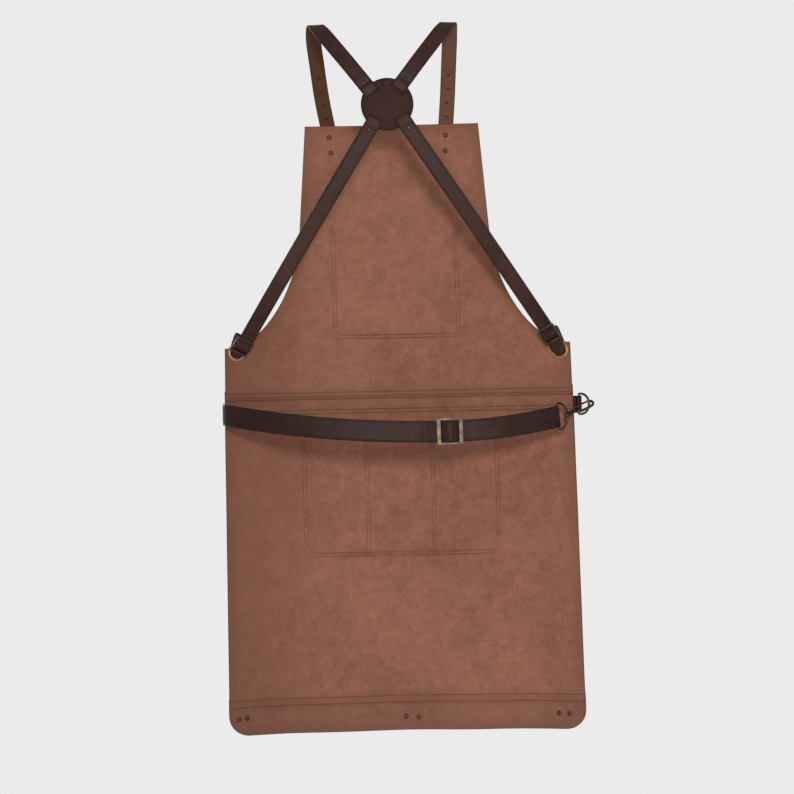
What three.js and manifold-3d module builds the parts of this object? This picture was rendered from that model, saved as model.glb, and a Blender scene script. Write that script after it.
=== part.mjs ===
// A leather work apron in the shape it has when worn: a bib and skirt of thick leather that curve
// round the wearer's front, shoulder straps that run over the shoulders to a round back disc, two
// cross straps from the disc to the waist corners, and a waist belt that hooks to a ring.
// Millimetres, +Z up. The wearer looks along +Y, so -Y is the back, where the straps cross. The
// origin is on the shoulders, under the middle of the shoulder straps' crests.
import * as THREE from 'three';
import { mergeVertices } from 'three/addons/utils/BufferGeometryUtils.js';
import Module from 'manifold-3d';

const wasm = await Module();
wasm.setup();

// Panels: heights follow each other downwards, widths are edge to edge along the front.
const SHOULDER_DROP = 157;
const BIB_TOP_WIDTH = 288;
const BIB_SIDE = 183;
const ARMHOLE_TOP_WIDTH = 316;
const ARMHOLE_DEPTH = 185;
const WAIST_WIDTH = 565;
const WAIST_DROP = 86;
const WAIST_OVERLAP = 16;
const SKIRT_LENGTH = 522;
const HEM_OVERLAP = 14;
const HEM_BAND = 61;
const HEM_WIDTH = 585;
const HEM_CORNER = 33;
const HEM_DRIFT = 7;
const PANEL_LEATHER = 2;

// How the panels stand off the wearer: the chest in front of the shoulders, the sides swept back.
const CHEST_DEPTH = 78;
const SIDE_SWEEP = 72;
const HEM_WAVE = 4;
const WAVE_PITCH = 205;

// Pockets on the front.
const BIB_POCKET_WIDTH = 218;
const BIB_POCKET_HEIGHT = 192;
const BIB_POCKET_DROP = 165;
const TOOL_POCKET_WIDTH = 332;
const TOOL_POCKET_HEIGHT = 196;
const TOOL_POCKET_DROP = 86;
const TOOL_POCKET_CORNER = 18;
const BIB_POCKET_CORNER = 7;
const POCKET_LEATHER = 1.8;
const POCKET_CROWN = 2;

// Straps, disc and belt.
const STRAP_WIDTH = 25;
const STRAP_LEATHER = 2.2;
const STRAP_FOOT = 57;
const STRAP_BOW_DEPTH = 14;
const BACK_DEPTH = 75;
const DISC_DIAMETER = 85;
const DISC_LEATHER = 3;
const DISC_DROP = 138;
const DISC_SIDE = -6;
const SLIT_RADIUS = 30;
const SLIT_WIDTH = 4.4;
const DISC_RIVET_OUT = 8;
const TAIL_PAST_RIVET = 7;
const BELT_WIDTH = 35;
const BELT_LEATHER = 2.2;
const BELT_DEPTH = 90;
const BELT_FRONT_RUN = 62;
const BELT_DROP = 142;
const BELT_LOW_SIDE = 70;
const BELT_RISE = 34;
const HOLE_RADIUS = 2;
const HOLE_PITCH = 23;
const FIRST_HOLE = 14;
const SEWN_END = 11;

// Metal.
const RIVET_HEAD = 4.4;
const RIVET_SHANK = 1.6;
const EYELET_BORE = 11.4;
const EYELET_WALL = 0.7;
const EYELET_FLANGE = 14.4;
const EYELET_PLATE = 0.8;
const STRAP_IN_EYELET = 17.4;
const SLIDE_LENGTH = 28;
const SLIDE_WIRE = 2.4;
const BELT_BUCKLE_LENGTH = 42;
const BELT_BUCKLE_BAR = 6;
const BELT_BUCKLE_RAIL = 2.6;
const BELT_BUCKLE_PLATE = 3;
const BELT_BUCKLE_MIDDLE = 4;
const BELT_BUCKLE_SIDE = 84;
const BELT_TAIL = 46;
const BELT_FOLD = 62;
const EYE_WIRE = 3.2;
const EYE_REACH = 22;
const EYE_FOLD = 30;
const SNAP_RUN = 52.9;
const SWIVEL_RADIUS = 4.2;
const SWIVEL_HALF = 3.4;
const SWIVEL_SHANK = 2;
const HOOK_WIRE = 4.6;
const HOOK_WIDTH = 18.5;
const HOOK_NECK = 15;
const GATE_WIRE = 3.4;
const HOOK_ROLL = 35;
const RING_WIRE = 4;
const RING_DEPTH = 19.5;
const RING_HEIGHT = 34;
const RING_STANDOFF = 8.5;
const RING_HEADING = -37;
const RING_DROP = 102.5;
const TAB_WIDTH = 27;
const TAB_LENGTH = 46;
const TAB_LEATHER = 2;

// Clearances: between a piece and what it lies on, round a shank or a bar, and in a moving joint.
const LAY = 0.35;
const AROUND = 0.5;
const RUNNING = 0.35;
const RING_PLAY = 2.4;
const PANEL_LAY = 0.55;
const RIVET_LAY = 0.55;
const EYELET_LAY = 0.85;
const BEHIND_EYELET = 1.1;
const EDGE_PLAY = 1.9;
const WEAVE_PLAY = 0.1;

// Heights of the panels' edges, worked out from the sizes above.
const BIB_TOP_Z = -SHOULDER_DROP;
const ARMHOLE_Z = BIB_TOP_Z - BIB_SIDE;
const CORNER_Z = ARMHOLE_Z - ARMHOLE_DEPTH;
const BIB_BOTTOM_Z = CORNER_Z - WAIST_DROP;
const SKIRT_TOP_Z = BIB_BOTTOM_Z + WAIST_OVERLAP;
const SKIRT_BOTTOM_Z = SKIRT_TOP_Z - SKIRT_LENGTH;
const HEM_TOP_Z = SKIRT_BOTTOM_Z + HEM_OVERLAP;
const HEM_BOTTOM_Z = HEM_TOP_Z - HEM_BAND;
const PANEL_LENGTH = BIB_TOP_Z - HEM_BOTTOM_Z;

// How far each layer's near face lies in front of the bib's near face.
const SKIRT_OFFSET = PANEL_LEATHER + PANEL_LAY;
const HEM_OFFSET = SKIRT_OFFSET + PANEL_LEATHER + PANEL_LAY;
const BIB_POCKET_OFFSET = PANEL_LEATHER + PANEL_LAY;
const TOOL_POCKET_OFFSET = SKIRT_OFFSET + PANEL_LEATHER + PANEL_LAY;
const EYELET_SIDES = 20;

// How the leather hangs, top to hem: down is a share of the panels' length, deep of the chest's
// depth, sweep of the sides' sweep and wave of the hem's soft ripple.
const HANG = [
  { down: 0, deep: 0.92, sweep: 0.43, wave: 0 },
  { down: 0.24, deep: 1, sweep: 0.83, wave: 0 },
  { down: 0.365, deep: 0.95, sweep: 1, wave: 0 },
  { down: 0.49, deep: 0.9, sweep: 0.97, wave: 0.1 },
  { down: 0.7, deep: 0.8, sweep: 0.75, wave: 0.5 },
  { down: 1, deep: 0.74, sweep: 0.52, wave: 1 },
];

// The shoulder straps' free run. Front rows: out is a share of the way from the bib to the crest,
// drop of the shoulder drop, deep of the chest's depth. Back rows: out is a share of the way from
// the disc rivet to the crest, drop of the rivet's drop, deep of the back's depth. Turn is a share
// of the strap's final slant.
const FRONT_RUN = [
  { out: 0.54, drop: 0.7, deep: 0.96 },
  { out: 0.96, drop: 0.35, deep: 0.8 },
  { out: 1.2, drop: 0.1, deep: 0.45 },
];
const BACK_RUN = [
  { out: 1, drop: 0, deep: 0, turn: 0 },
  { out: 0.86, drop: 0.13, deep: 0.44, turn: 0.35 },
  { out: 0.63, drop: 0.37, deep: 0.71, turn: 0.8 },
  { out: 0.3, drop: 0.7, deep: 0.92, turn: 1 },
];

// Where the shoulder straps are sideways at the crest, on the bib and at the foot, as shares of the
// bib's half width, and where each strap's slit lies on the disc and which way the strap runs from
// it, in degrees. Side is the sign of x. Inset and below place an eyelet from the waist corner, in
// eyelet flanges; up and off place its slide, in slide lengths, and tilt turns it, in degrees.
const SHOULDERS = [
  { name: 'left', side: -1, crest: 0.851, bib: 0.736, foot: 0.698, slit: 142, run: 128 },
  { name: 'right', side: 1, crest: 0.68, bib: 0.63, foot: 0.615, slit: 55, run: 52 },
];
const CROSSES = [
  { name: 'left', side: -1, slit: 231, run: 238, inset: 1.22, below: 0.45, up: 0.35, off: 0.55, tilt: 40 },
  { name: 'right', side: 1, slit: 318, run: 302, inset: 1.11, below: 0.9, up: 1, off: 0.5, tilt: 24 },
];

// A cross strap from the eyelet to the panel's edge: rise is a share of the eyelet's bore, off a
// number of strap thicknesses from the near face or from the strap's run behind the leather.
const THROUGH_EYELET = [
  { rise: 0.386, off: 1.55, behind: false },
  { rise: 0.14, off: 0.68, behind: false },
  { rise: 0.035, off: -0.45, behind: false },
  { rise: 0.07, off: 0.73, behind: true },
  { rise: 0.21, off: 0.09, behind: true },
];

// Hem rivets: across is a share of the hem's half width, up a share of the hem band.
const HEM_RIVETS = [
  { across: -0.945, up: 0.45 },
  { across: -0.9, up: 0.47 },
  { across: -0.008, up: 0.36 },
  { across: 0.063, up: 0.34 },
  { across: 0.85, up: 0.43 },
  { across: 0.908, up: 0.43 },
];

const X = new THREE.Vector3(1, 0, 0);
const Y = new THREE.Vector3(0, 1, 0);
const Z = new THREE.Vector3(0, 0, 1);
const vector = (x, y, z) => new THREE.Vector3(x, y, z);
const radians = THREE.MathUtils.degToRad;

// Reads a column of a table of rows at a place between them, as a smooth curve through the rows.
function read(rows, key, at, value) {
  let i = 0;
  while (i < rows.length - 2 && at > rows[i + 1][key]) i += 1;
  const slope = (a, b) => (rows[b][value] - rows[a][value]) / (rows[b][key] - rows[a][key]);
  const span = rows[i + 1][key] - rows[i][key];
  const first = slope(Math.max(i - 1, 0), i + 1);
  const second = slope(i, Math.min(i + 2, rows.length - 1));
  const t = THREE.MathUtils.clamp((at - rows[i][key]) / span, 0, 1);
  const rise = rows[i + 1][value] - rows[i][value];
  const bend = span * (first * t * (1 - t) ** 2 - second * t * t * (1 - t));
  return rows[i][value] + rise * t * t * (3 - 2 * t) + bend;
}

// The skirt hangs a little to one side, so its middle line drifts with the height.
function drift(z) {
  return (HEM_DRIFT * (BIB_TOP_Z - z)) / PANEL_LENGTH;
}

// Depth of the bib's near face, measured at a distance across from the panels' middle line.
function panelDepth(across, z) {
  const down = (BIB_TOP_Z - z) / PANEL_LENGTH;
  const sweep = SIDE_SWEEP * read(HANG, 'down', down, 'sweep') * (across / (WAIST_WIDTH / 2)) ** 2;
  const ripple = HEM_WAVE * read(HANG, 'down', down, 'wave') * Math.cos((2 * Math.PI * across) / WAVE_PITCH);
  return CHEST_DEPTH * read(HANG, 'down', down, 'deep') - sweep + ripple;
}

// The leather's unit normal, which points away from the wearer.
function panelNormal(across, z) {
  const sideways = (panelDepth(across + 1, z) - panelDepth(across - 1, z)) / 2;
  const upwards = (panelDepth(across, z + 1) - panelDepth(across, z - 1)) / 2;
  return vector(-sideways, 1, -upwards).normalize();
}

// A point of the leather at an offset in front of the bib's near face.
function panelPoint(across, z, offset) {
  const base = vector(across + drift(z), panelDepth(across, z), z);
  return base.addScaledVector(panelNormal(across, z), offset);
}

// Half the skirt's width at a height, with the hem's round corners.
function skirtHalf(z) {
  const half = THREE.MathUtils.mapLinear(z, CORNER_Z, HEM_BOTTOM_Z, WAIST_WIDTH / 2, HEM_WIDTH / 2);
  const into = HEM_BOTTOM_Z + HEM_CORNER - z;
  if (into <= 0) return half;
  return half - HEM_CORNER + Math.sqrt(Math.max(HEM_CORNER ** 2 - into ** 2, 0));
}

// The armhole's edge from its top, at 0, to the waist corner, at 1: a quarter of a squarish oval.
function armhole(share) {
  const angle = (share * Math.PI) / 2;
  const down = Math.sin(angle) ** (2 / 1.58);
  const out = 1 - Math.cos(angle) ** (2 / 1.9);
  const start = ARMHOLE_TOP_WIDTH / 2;
  return { z: ARMHOLE_Z - ARMHOLE_DEPTH * down, half: start + (WAIST_WIDTH / 2 - start) * out };
}

// Turns a list of points and triangles into a closed shape whose faces point outwards.
function shape(points, faces) {
  let volume = 0;
  for (const [a, b, c] of faces) {
    volume += points[a].dot(points[b].clone().cross(points[c]));
  }
  const geometry = new THREE.BufferGeometry();
  geometry.setAttribute('position', new THREE.Float32BufferAttribute(points.flatMap((p) => p.toArray()), 3));
  geometry.setIndex(faces.flatMap(([a, b, c]) => (volume < 0 ? [a, c, b] : [a, b, c])));
  geometry.computeVertexNormals();
  return geometry;
}

// A wall of leather between a near and a far grid of points, both of the same rows and columns.
function wall(near, far) {
  const rows = near.length;
  const columns = near[0].length;
  const points = [...near.flat(), ...far.flat()];
  const at = (layer, r, c) => layer * rows * columns + r * columns + c;
  const faces = [];
  const quad = (a, b, c, d) => faces.push([a, b, c], [a, c, d]);
  for (let r = 0; r < rows - 1; r += 1) {
    for (let c = 0; c < columns - 1; c += 1) {
      quad(at(0, r, c), at(0, r, c + 1), at(0, r + 1, c + 1), at(0, r + 1, c));
      quad(at(1, r, c), at(1, r + 1, c), at(1, r + 1, c + 1), at(1, r, c + 1));
    }
    quad(at(0, r, 0), at(0, r + 1, 0), at(1, r + 1, 0), at(1, r, 0));
    quad(at(0, r, columns - 1), at(1, r, columns - 1), at(1, r + 1, columns - 1), at(0, r + 1, columns - 1));
  }
  for (let c = 0; c < columns - 1; c += 1) {
    quad(at(0, 0, c), at(1, 0, c), at(1, 0, c + 1), at(0, 0, c + 1));
    quad(at(0, rows - 1, c), at(0, rows - 1, c + 1), at(1, rows - 1, c + 1), at(1, rows - 1, c));
  }
  return shape(points, faces);
}

// A sheet that follows the hanging leather: rows give a height and the distances of both edges.
function sheet(rows, columns, offset, leather, crown = () => 0) {
  const layer = (extra) => rows.map(({ z, left, right }, r) => {
    const row = [];
    for (let c = 0; c <= columns; c += 1) {
      const across = THREE.MathUtils.lerp(left, right, c / columns);
      row.push(panelPoint(across, z, offset + extra + crown(r / (rows.length - 1), c / columns)));
    }
    return row;
  });
  return wall(layer(0), layer(leather));
}

// Sweeps a section along stations, each with a place, a direction across and one up. A closed
// sweep joins its last station to its first; an open one gets flat ends.
function sweep(stations, section, closed = false) {
  const points = [];
  const faces = [];
  const sides = section.length;
  for (const { place, across, up, narrow = 1 } of stations) {
    for (const [u, v] of section) {
      points.push(place.clone().addScaledVector(across, u * narrow).addScaledVector(up, v));
    }
  }
  const count = stations.length;
  for (let i = 0; i < (closed ? count : count - 1); i += 1) {
    const here = i * sides;
    const next = ((i + 1) % count) * sides;
    for (let k = 0; k < sides; k += 1) {
      const l = (k + 1) % sides;
      faces.push([here + k, here + l, next + l], [here + k, next + l, next + k]);
    }
  }
  if (!closed) {
    const last = (count - 1) * sides;
    for (let k = 1; k < sides - 1; k += 1) {
      faces.push([0, k + 1, k], [last, last + k, last + k + 1]);
    }
  }
  return shape(points, faces);
}

// A flat band of leather along stations that know their place and the direction across.
function band(stations, width, leather) {
  const framed = stations.map((station, i) => {
    const before = stations[Math.max(i - 1, 0)].place;
    const after = stations[Math.min(i + 1, stations.length - 1)].place;
    const along = after.clone().sub(before).normalize();
    const across = station.across.clone().normalize();
    const up = along.clone().cross(across).normalize();
    return { ...station, across, up };
  });
  const w = width / 2;
  const t = leather / 2;
  return sweep(framed, [[-w, -t], [w, -t], [w, t], [-w, t]]);
}

// Turns a direction across so that it is square to the way the band runs.
function square(across, along) {
  return across.clone().addScaledVector(along, -across.dot(along) / along.lengthSq()).normalize();
}

// A round section of a wire with the given diameter.
function round(diameter, sides) {
  const ring = [];
  for (let k = 0; k < sides; k += 1) {
    const angle = (2 * Math.PI * k) / sides;
    ring.push([(diameter / 2) * Math.cos(angle), (diameter / 2) * Math.sin(angle)]);
  }
  return ring;
}

// A wire bent in a flat plane through points [u, v], as a loop or with two ends.
function wire(points, diameter, sides, closed) {
  const count = points.length;
  const pick = (i) => (closed ? points[(i + count) % count] : points[THREE.MathUtils.clamp(i, 0, count - 1)]);
  const stations = points.map(([u, v], i) => {
    const [u0, v0] = pick(i - 1);
    const [u1, v1] = pick(i + 1);
    const along = vector(u1 - u0, v1 - v0, 0).normalize();
    return { place: vector(u, v, 0), across: vector(-along.y, along.x, 0), up: Z };
  });
  return sweep(stations, round(diameter, sides), closed);
}

// Points of a smooth curve through a few chosen ones.
function curve(points, steps, closed = false) {
  const line = new THREE.CatmullRomCurve3(points.map(([u, v]) => vector(u, v, 0)), closed, 'centripetal');
  const list = line.getPoints(steps).map((p) => [p.x, p.y]);
  return closed ? list.slice(0, -1) : list;
}

// A turned piece: profile points are a radius and a height along the given axis from a place.
function turned(profile, sides, place, axis) {
  const geometry = new THREE.LatheGeometry(profile.map(([r, h]) => new THREE.Vector2(r, h)), sides);
  geometry.applyQuaternion(new THREE.Quaternion().setFromUnitVectors(Y, axis.clone().normalize()));
  geometry.translate(place.x, place.y, place.z);
  return outward(weld(geometry));
}

// Merges the points that a geometry has in one place.
function weld(geometry) {
  const bare = geometry.clone();
  bare.deleteAttribute('normal');
  bare.deleteAttribute('uv');
  return mergeVertices(bare, 1e-4);
}

// Rebuilds a welded geometry without its folded triangles, its faces pointing outwards.
function outward(geometry) {
  const position = geometry.attributes.position;
  const points = [];
  for (let i = 0; i < position.count; i += 1) {
    points.push(vector(0, 0, 0).fromBufferAttribute(position, i));
  }
  const index = Array.from(geometry.index.array);
  const faces = [];
  for (let i = 0; i < index.length; i += 3) {
    const [a, b, c] = index.slice(i, i + 3);
    if (a !== b && b !== c && a !== c) faces.push([a, b, c]);
  }
  return shape(points, faces);
}

// Solids for cutting and joining, and back again.
function solid(geometry) {
  const merged = weld(geometry);
  const vertProperties = new Float32Array(merged.attributes.position.array);
  const triVerts = new Uint32Array(merged.index.array);
  return new wasm.Manifold(new wasm.Mesh({ numProp: 3, vertProperties, triVerts }));
}

function unsolid(body) {
  const mesh = body.getMesh();
  const points = [];
  for (let i = 0; i < mesh.vertProperties.length; i += mesh.numProp) {
    points.push(vector(...mesh.vertProperties.slice(i, i + 3)));
  }
  const faces = [];
  for (let i = 0; i < mesh.triVerts.length; i += 3) {
    faces.push(Array.from(mesh.triVerts.slice(i, i + 3)));
  }
  return shape(points, faces);
}

// Punches round holes through a piece. Each hole has a place, an axis, a radius and a reach.
function punch(geometry, holes) {
  let body = solid(geometry);
  for (const { place, axis, radius, reach, sides = 8 } of holes) {
    const profile = [[0, -reach], [radius, -reach], [radius, reach], [0, reach]];
    body = body.subtract(solid(turned(profile, sides, place, axis)));
  }
  return unsolid(body);
}

function join(...geometries) {
  return unsolid(geometries.map(solid).reduce((a, b) => a.add(b)));
}

const group = new THREE.Group();
const LEATHER_FLESH = { color: 0x8c5e4c, roughness: 0.88, metalness: 0 };
const LEATHER_GRAIN = { color: 0x3c2620, roughness: 0.42, metalness: 0 };
const AGED_BRASS = { color: 0x8f7c62, roughness: 0.42, metalness: 1 };
const PALE_BRASS = { color: 0xc8a07a, roughness: 0.35, metalness: 1 };
const DARK_BRONZE = { color: 0x4a3a30, roughness: 0.45, metalness: 1 };

function piece(name, geometry, finish, parent = group) {
  const mesh = new THREE.Mesh(geometry, new THREE.MeshStandardMaterial(finish));
  mesh.name = name;
  parent.add(mesh);
}

// A rivet: a domed head on the near side, its shank, and a flat cap on the far side. Place is the
// near face of the leather and toward points out of it; grip is all the leather between.
function rivet(name, place, toward, grip) {
  const near = RIVET_LAY;
  const far = -grip - RIVET_LAY;
  const head = 0.42 * RIVET_HEAD;
  const profile = [
    [0, near + head], [0.5 * RIVET_HEAD, near + 0.86 * head], [0.87 * RIVET_HEAD, near + 0.5 * head],
    [RIVET_HEAD, near], [RIVET_SHANK, near], [RIVET_SHANK, far], [0.85 * RIVET_HEAD, far],
    [0, far - 0.25 * RIVET_HEAD],
  ];
  piece(name, turned(profile, 8, place, toward), DARK_BRONZE);
}

function rivetHole(place, axis) {
  return { place, axis, radius: RIVET_SHANK + AROUND, reach: 3 * PANEL_LEATHER };
}

// Shoulder rivets hold each strap's foot to the bib: rows are shares of the foot's length.
const SHOULDER_RIVETS = [{ name: 'upper', down: 0.33 }, { name: 'lower', down: 0.78 }];
const FOOT_OFFSET = PANEL_LEATHER + PANEL_LAY + STRAP_LEATHER / 2;

// Distance across from the panels' middle line to a shoulder strap's foot, a share of it down.
function footAcross(shoulder, down) {
  const share = THREE.MathUtils.lerp(shoulder.bib, shoulder.foot, down);
  return (shoulder.side * share * BIB_TOP_WIDTH) / 2 - drift(BIB_TOP_Z - STRAP_FOOT * down);
}

function footPoint(shoulder, down, offset) {
  return panelPoint(footAcross(shoulder, down), BIB_TOP_Z - STRAP_FOOT * down, offset);
}

function footNormal(shoulder, down) {
  return panelNormal(footAcross(shoulder, down), BIB_TOP_Z - STRAP_FOOT * down);
}

function shoulderHoles(shoulder) {
  return SHOULDER_RIVETS.map(({ down }) => {
    return rivetHole(footPoint(shoulder, down, 0), footNormal(shoulder, down));
  });
}

// The waist corner: an eyelet near each corner of the bib.
function eyelet({ side, inset, below }) {
  const across = side * (WAIST_WIDTH / 2 - inset * EYELET_FLANGE);
  const z = CORNER_Z - below * EYELET_FLANGE;
  return { centre: panelPoint(across, z, 0), normal: panelNormal(across, z) };
}

// The bib: straight sides, scooped armholes, and a waist that runs on to the seam.
const BIB_COLUMNS = 14;
const SKIRT_COLUMNS = 18;
const ARMHOLE_STEPS = 10;
const bibRows = [];
for (let i = 0; i < 4; i += 1) {
  const share = i / 4;
  const half = THREE.MathUtils.lerp(BIB_TOP_WIDTH, ARMHOLE_TOP_WIDTH, share) / 2;
  bibRows.push({ z: BIB_TOP_Z - BIB_SIDE * share, half });
}
for (let i = 0; i <= ARMHOLE_STEPS; i += 1) bibRows.push(armhole(i / ARMHOLE_STEPS));
for (const share of [0.33, 0.67, 1]) {
  const z = CORNER_Z - WAIST_DROP * share;
  bibRows.push({ z, half: skirtHalf(z) });
}
const bothSides = ({ z, half }) => ({ z, left: -half, right: half });
const eyeletHoles = CROSSES.map((cross) => ({
  place: eyelet(cross).centre,
  axis: eyelet(cross).normal,
  radius: EYELET_BORE + EYELET_WALL + AROUND,
  reach: 4 * PANEL_LEATHER,
  sides: EYELET_SIDES,
}));
const bib = sheet(bibRows.map(bothSides), BIB_COLUMNS, 0, PANEL_LEATHER);
piece('bib_panel', punch(bib, [...SHOULDERS.flatMap(shoulderHoles), ...eyeletHoles]), LEATHER_FLESH);

// The skirt hangs from behind the bib's lower edge, and the hem band from behind the skirt's.
const SKIRT_STEPS = 9;
const skirtRows = [];
for (let i = 0; i <= SKIRT_STEPS; i += 1) {
  const z = SKIRT_TOP_Z - (SKIRT_LENGTH * i) / SKIRT_STEPS;
  skirtRows.push({ z, half: skirtHalf(z) });
}
const skirt = sheet(skirtRows.map(bothSides), SKIRT_COLUMNS, SKIRT_OFFSET, PANEL_LEATHER);
piece('skirt_panel', skirt, LEATHER_FLESH);

const hemRows = [{ z: HEM_TOP_Z, half: skirtHalf(HEM_TOP_Z) }];
for (const turn of [0, 25, 50, 72, 90]) {
  const z = HEM_BOTTOM_Z + HEM_CORNER * (1 - Math.sin(radians(turn)));
  hemRows.push({ z, half: skirtHalf(z) });
}
const hemPlaces = HEM_RIVETS.map(({ across, up }) => ({
  across: (across * HEM_WIDTH) / 2, z: HEM_BOTTOM_Z + HEM_BAND * up,
}));
const hem = sheet(hemRows.map(bothSides), SKIRT_COLUMNS, HEM_OFFSET, PANEL_LEATHER);

// A point of the hem band's near face, which is flat between its columns.
function hemPoint(across, z) {
  const half = skirtHalf(z);
  const column = ((across + half) / (2 * half)) * SKIRT_COLUMNS;
  const low = Math.floor(column);
  const at = (i) => panelPoint(half * ((2 * i) / SKIRT_COLUMNS - 1), z, HEM_OFFSET);
  return at(low).lerp(at(low + 1), column - low);
}
const hemHoles = hemPlaces.map(({ across, z }) => rivetHole(hemPoint(across, z), panelNormal(across, z)));
piece('hem_band', punch(hem, hemHoles), LEATHER_FLESH);
hemPlaces.forEach(({ across, z }, i) => {
  rivet(`hem_rivet_${i + 1}`, hemPoint(across, z), panelNormal(across, z).negate(), PANEL_LEATHER);
});

// Pockets: patches on the front, sewn on three sides, that stand off a little towards the mouth.
function pocket({ top, width, height, corner, offset }) {
  const rows = [{ z: top, left: -width / 2, right: width / 2 }];
  for (const share of [0.25, 0.5, 0.75]) {
    rows.push({ z: top - (height - corner) * share, left: -width / 2, right: width / 2 });
  }
  for (const turn of [0, 45, 90]) {
    const inset = corner * (1 - Math.cos(radians(turn)));
    const z = top - height + corner * (1 - Math.sin(radians(turn)));
    rows.push({ z, left: -width / 2 + inset, right: width / 2 - inset });
  }
  const crown = (down, across) => POCKET_CROWN * (1 - down) * Math.sin(Math.PI * across);
  return sheet(rows, 10, offset, POCKET_LEATHER, crown);
}
const bibPocket = pocket({
  top: BIB_TOP_Z - BIB_POCKET_DROP,
  width: BIB_POCKET_WIDTH,
  height: BIB_POCKET_HEIGHT,
  corner: BIB_POCKET_CORNER,
  offset: BIB_POCKET_OFFSET,
});
const toolPocket = pocket({
  top: SKIRT_TOP_Z - TOOL_POCKET_DROP,
  width: TOOL_POCKET_WIDTH,
  height: TOOL_POCKET_HEIGHT,
  corner: TOOL_POCKET_CORNER,
  offset: TOOL_POCKET_OFFSET,
});
piece('bib_pocket', bibPocket, LEATHER_FLESH);
piece('tool_pocket', toolPocket, LEATHER_FLESH);

// The back disc, with a slit for each strap. Slits lie square to the way their strap runs.
const discCentre = vector(DISC_SIDE, -BACK_DEPTH, -DISC_DROP);
const heading = (degrees) => vector(Math.cos(radians(degrees)), 0, Math.sin(radians(degrees)));
const discShape = new THREE.Shape().absarc(0, 0, DISC_DIAMETER / 2, 0, 2 * Math.PI);
for (const { slit, run } of [...SHOULDERS, ...CROSSES]) {
  const centre = heading(slit).multiplyScalar(SLIT_RADIUS);
  const along = heading(run).multiplyScalar(SLIT_WIDTH / 2);
  const across = heading(run + 90).multiplyScalar(STRAP_WIDTH / 2 + 2 * AROUND);
  const corner = (a, b) => centre.clone().addScaledVector(along, a).addScaledVector(across, b);
  const points = [corner(-1, -1), corner(1, -1), corner(1, 1), corner(-1, 1)];
  discShape.holes.push(new THREE.Path(points.map((p) => new THREE.Vector2(p.x, p.z))));
}
const discSolid = { depth: DISC_LEATHER, bevelEnabled: false, curveSegments: 20 };
const disc = new THREE.ExtrudeGeometry(discShape, discSolid);
disc.rotateX(Math.PI / 2);
disc.translate(discCentre.x, discCentre.y + DISC_LEATHER / 2, discCentre.z);
piece('back_disc', outward(weld(disc)), LEATHER_GRAIN);

// How a strap ends at the disc: it lies over the rim, dives through its slit, folds back behind and
// is riveted to itself just outside the rim. Rows go from the tail to the main run: out is measured
// along the strap from the slit, off is the distance from the disc's middle plane.
const OVER_RIM = DISC_LEATHER / 2 + LAY + STRAP_LEATHER / 2;
const AT_RIVET = LAY / 2 + STRAP_LEATHER / 2 + WEAVE_PLAY;

function discEnd({ slit, run }) {
  const centre = discCentre.clone().addScaledVector(heading(slit), SLIT_RADIUS);
  const along = heading(run);
  const across = heading(run + 90);
  const rim = DISC_DIAMETER / 2 - SLIT_RADIUS * Math.cos(radians(slit - run));
  const rivetOut = rim + DISC_RIVET_OUT;
  const turnAt = OVER_RIM + STRAP_LEATHER / 2 + LAY - SLIT_WIDTH / 2;
  const flat = rivetOut - RIVET_HEAD;
  const pastRim = rim + 0.41 * STRAP_LEATHER;
  const rows = [
    [rivetOut + TAIL_PAST_RIVET, AT_RIVET], [rivetOut, AT_RIVET], [flat, AT_RIVET],
    [pastRim, OVER_RIM], [turnAt, OVER_RIM],
  ];
  for (const turn of [30, 60, 90, 120, 150]) {
    rows.push([turnAt - OVER_RIM * Math.sin(radians(turn)), OVER_RIM * Math.cos(radians(turn))]);
  }
  rows.push(
    [turnAt, -OVER_RIM], [pastRim, -OVER_RIM], [flat, -AT_RIVET],
    [rivetOut, -AT_RIVET], [rivetOut + TAIL_PAST_RIVET, -AT_RIVET],
  );
  const at = (out, off) => centre.clone().addScaledVector(along, out).addScaledVector(Y, off);
  return {
    stations: rows.map(([out, off]) => ({ place: at(out, off), across })),
    rivet: at(rivetOut, 0), end: at(rivetOut + TAIL_PAST_RIVET, -AT_RIVET), along, across,
  };
}

function discRivet(name, place) {
  const grip = 2 * AT_RIVET + STRAP_LEATHER;
  rivet(name, place.clone().addScaledVector(Y, -grip / 2), Y.clone().negate(), grip);
}

// Points of a smooth line through stations, with their directions across turned along the way.
function smooth(stations, steps) {
  const line = new THREE.CatmullRomCurve3(stations.map((s) => s.place), false, 'centripetal');
  const list = [];
  for (let i = 0; i <= steps; i += 1) {
    const at = (i / steps) * (stations.length - 1);
    const low = Math.min(Math.floor(at), stations.length - 2);
    const across = stations[low].across.clone().lerp(stations[low + 1].across, at - low);
    const place = line.getPoint(i / steps);
    list.push({ place, across: square(across, line.getTangent(i / steps)) });
  }
  return list;
}

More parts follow.
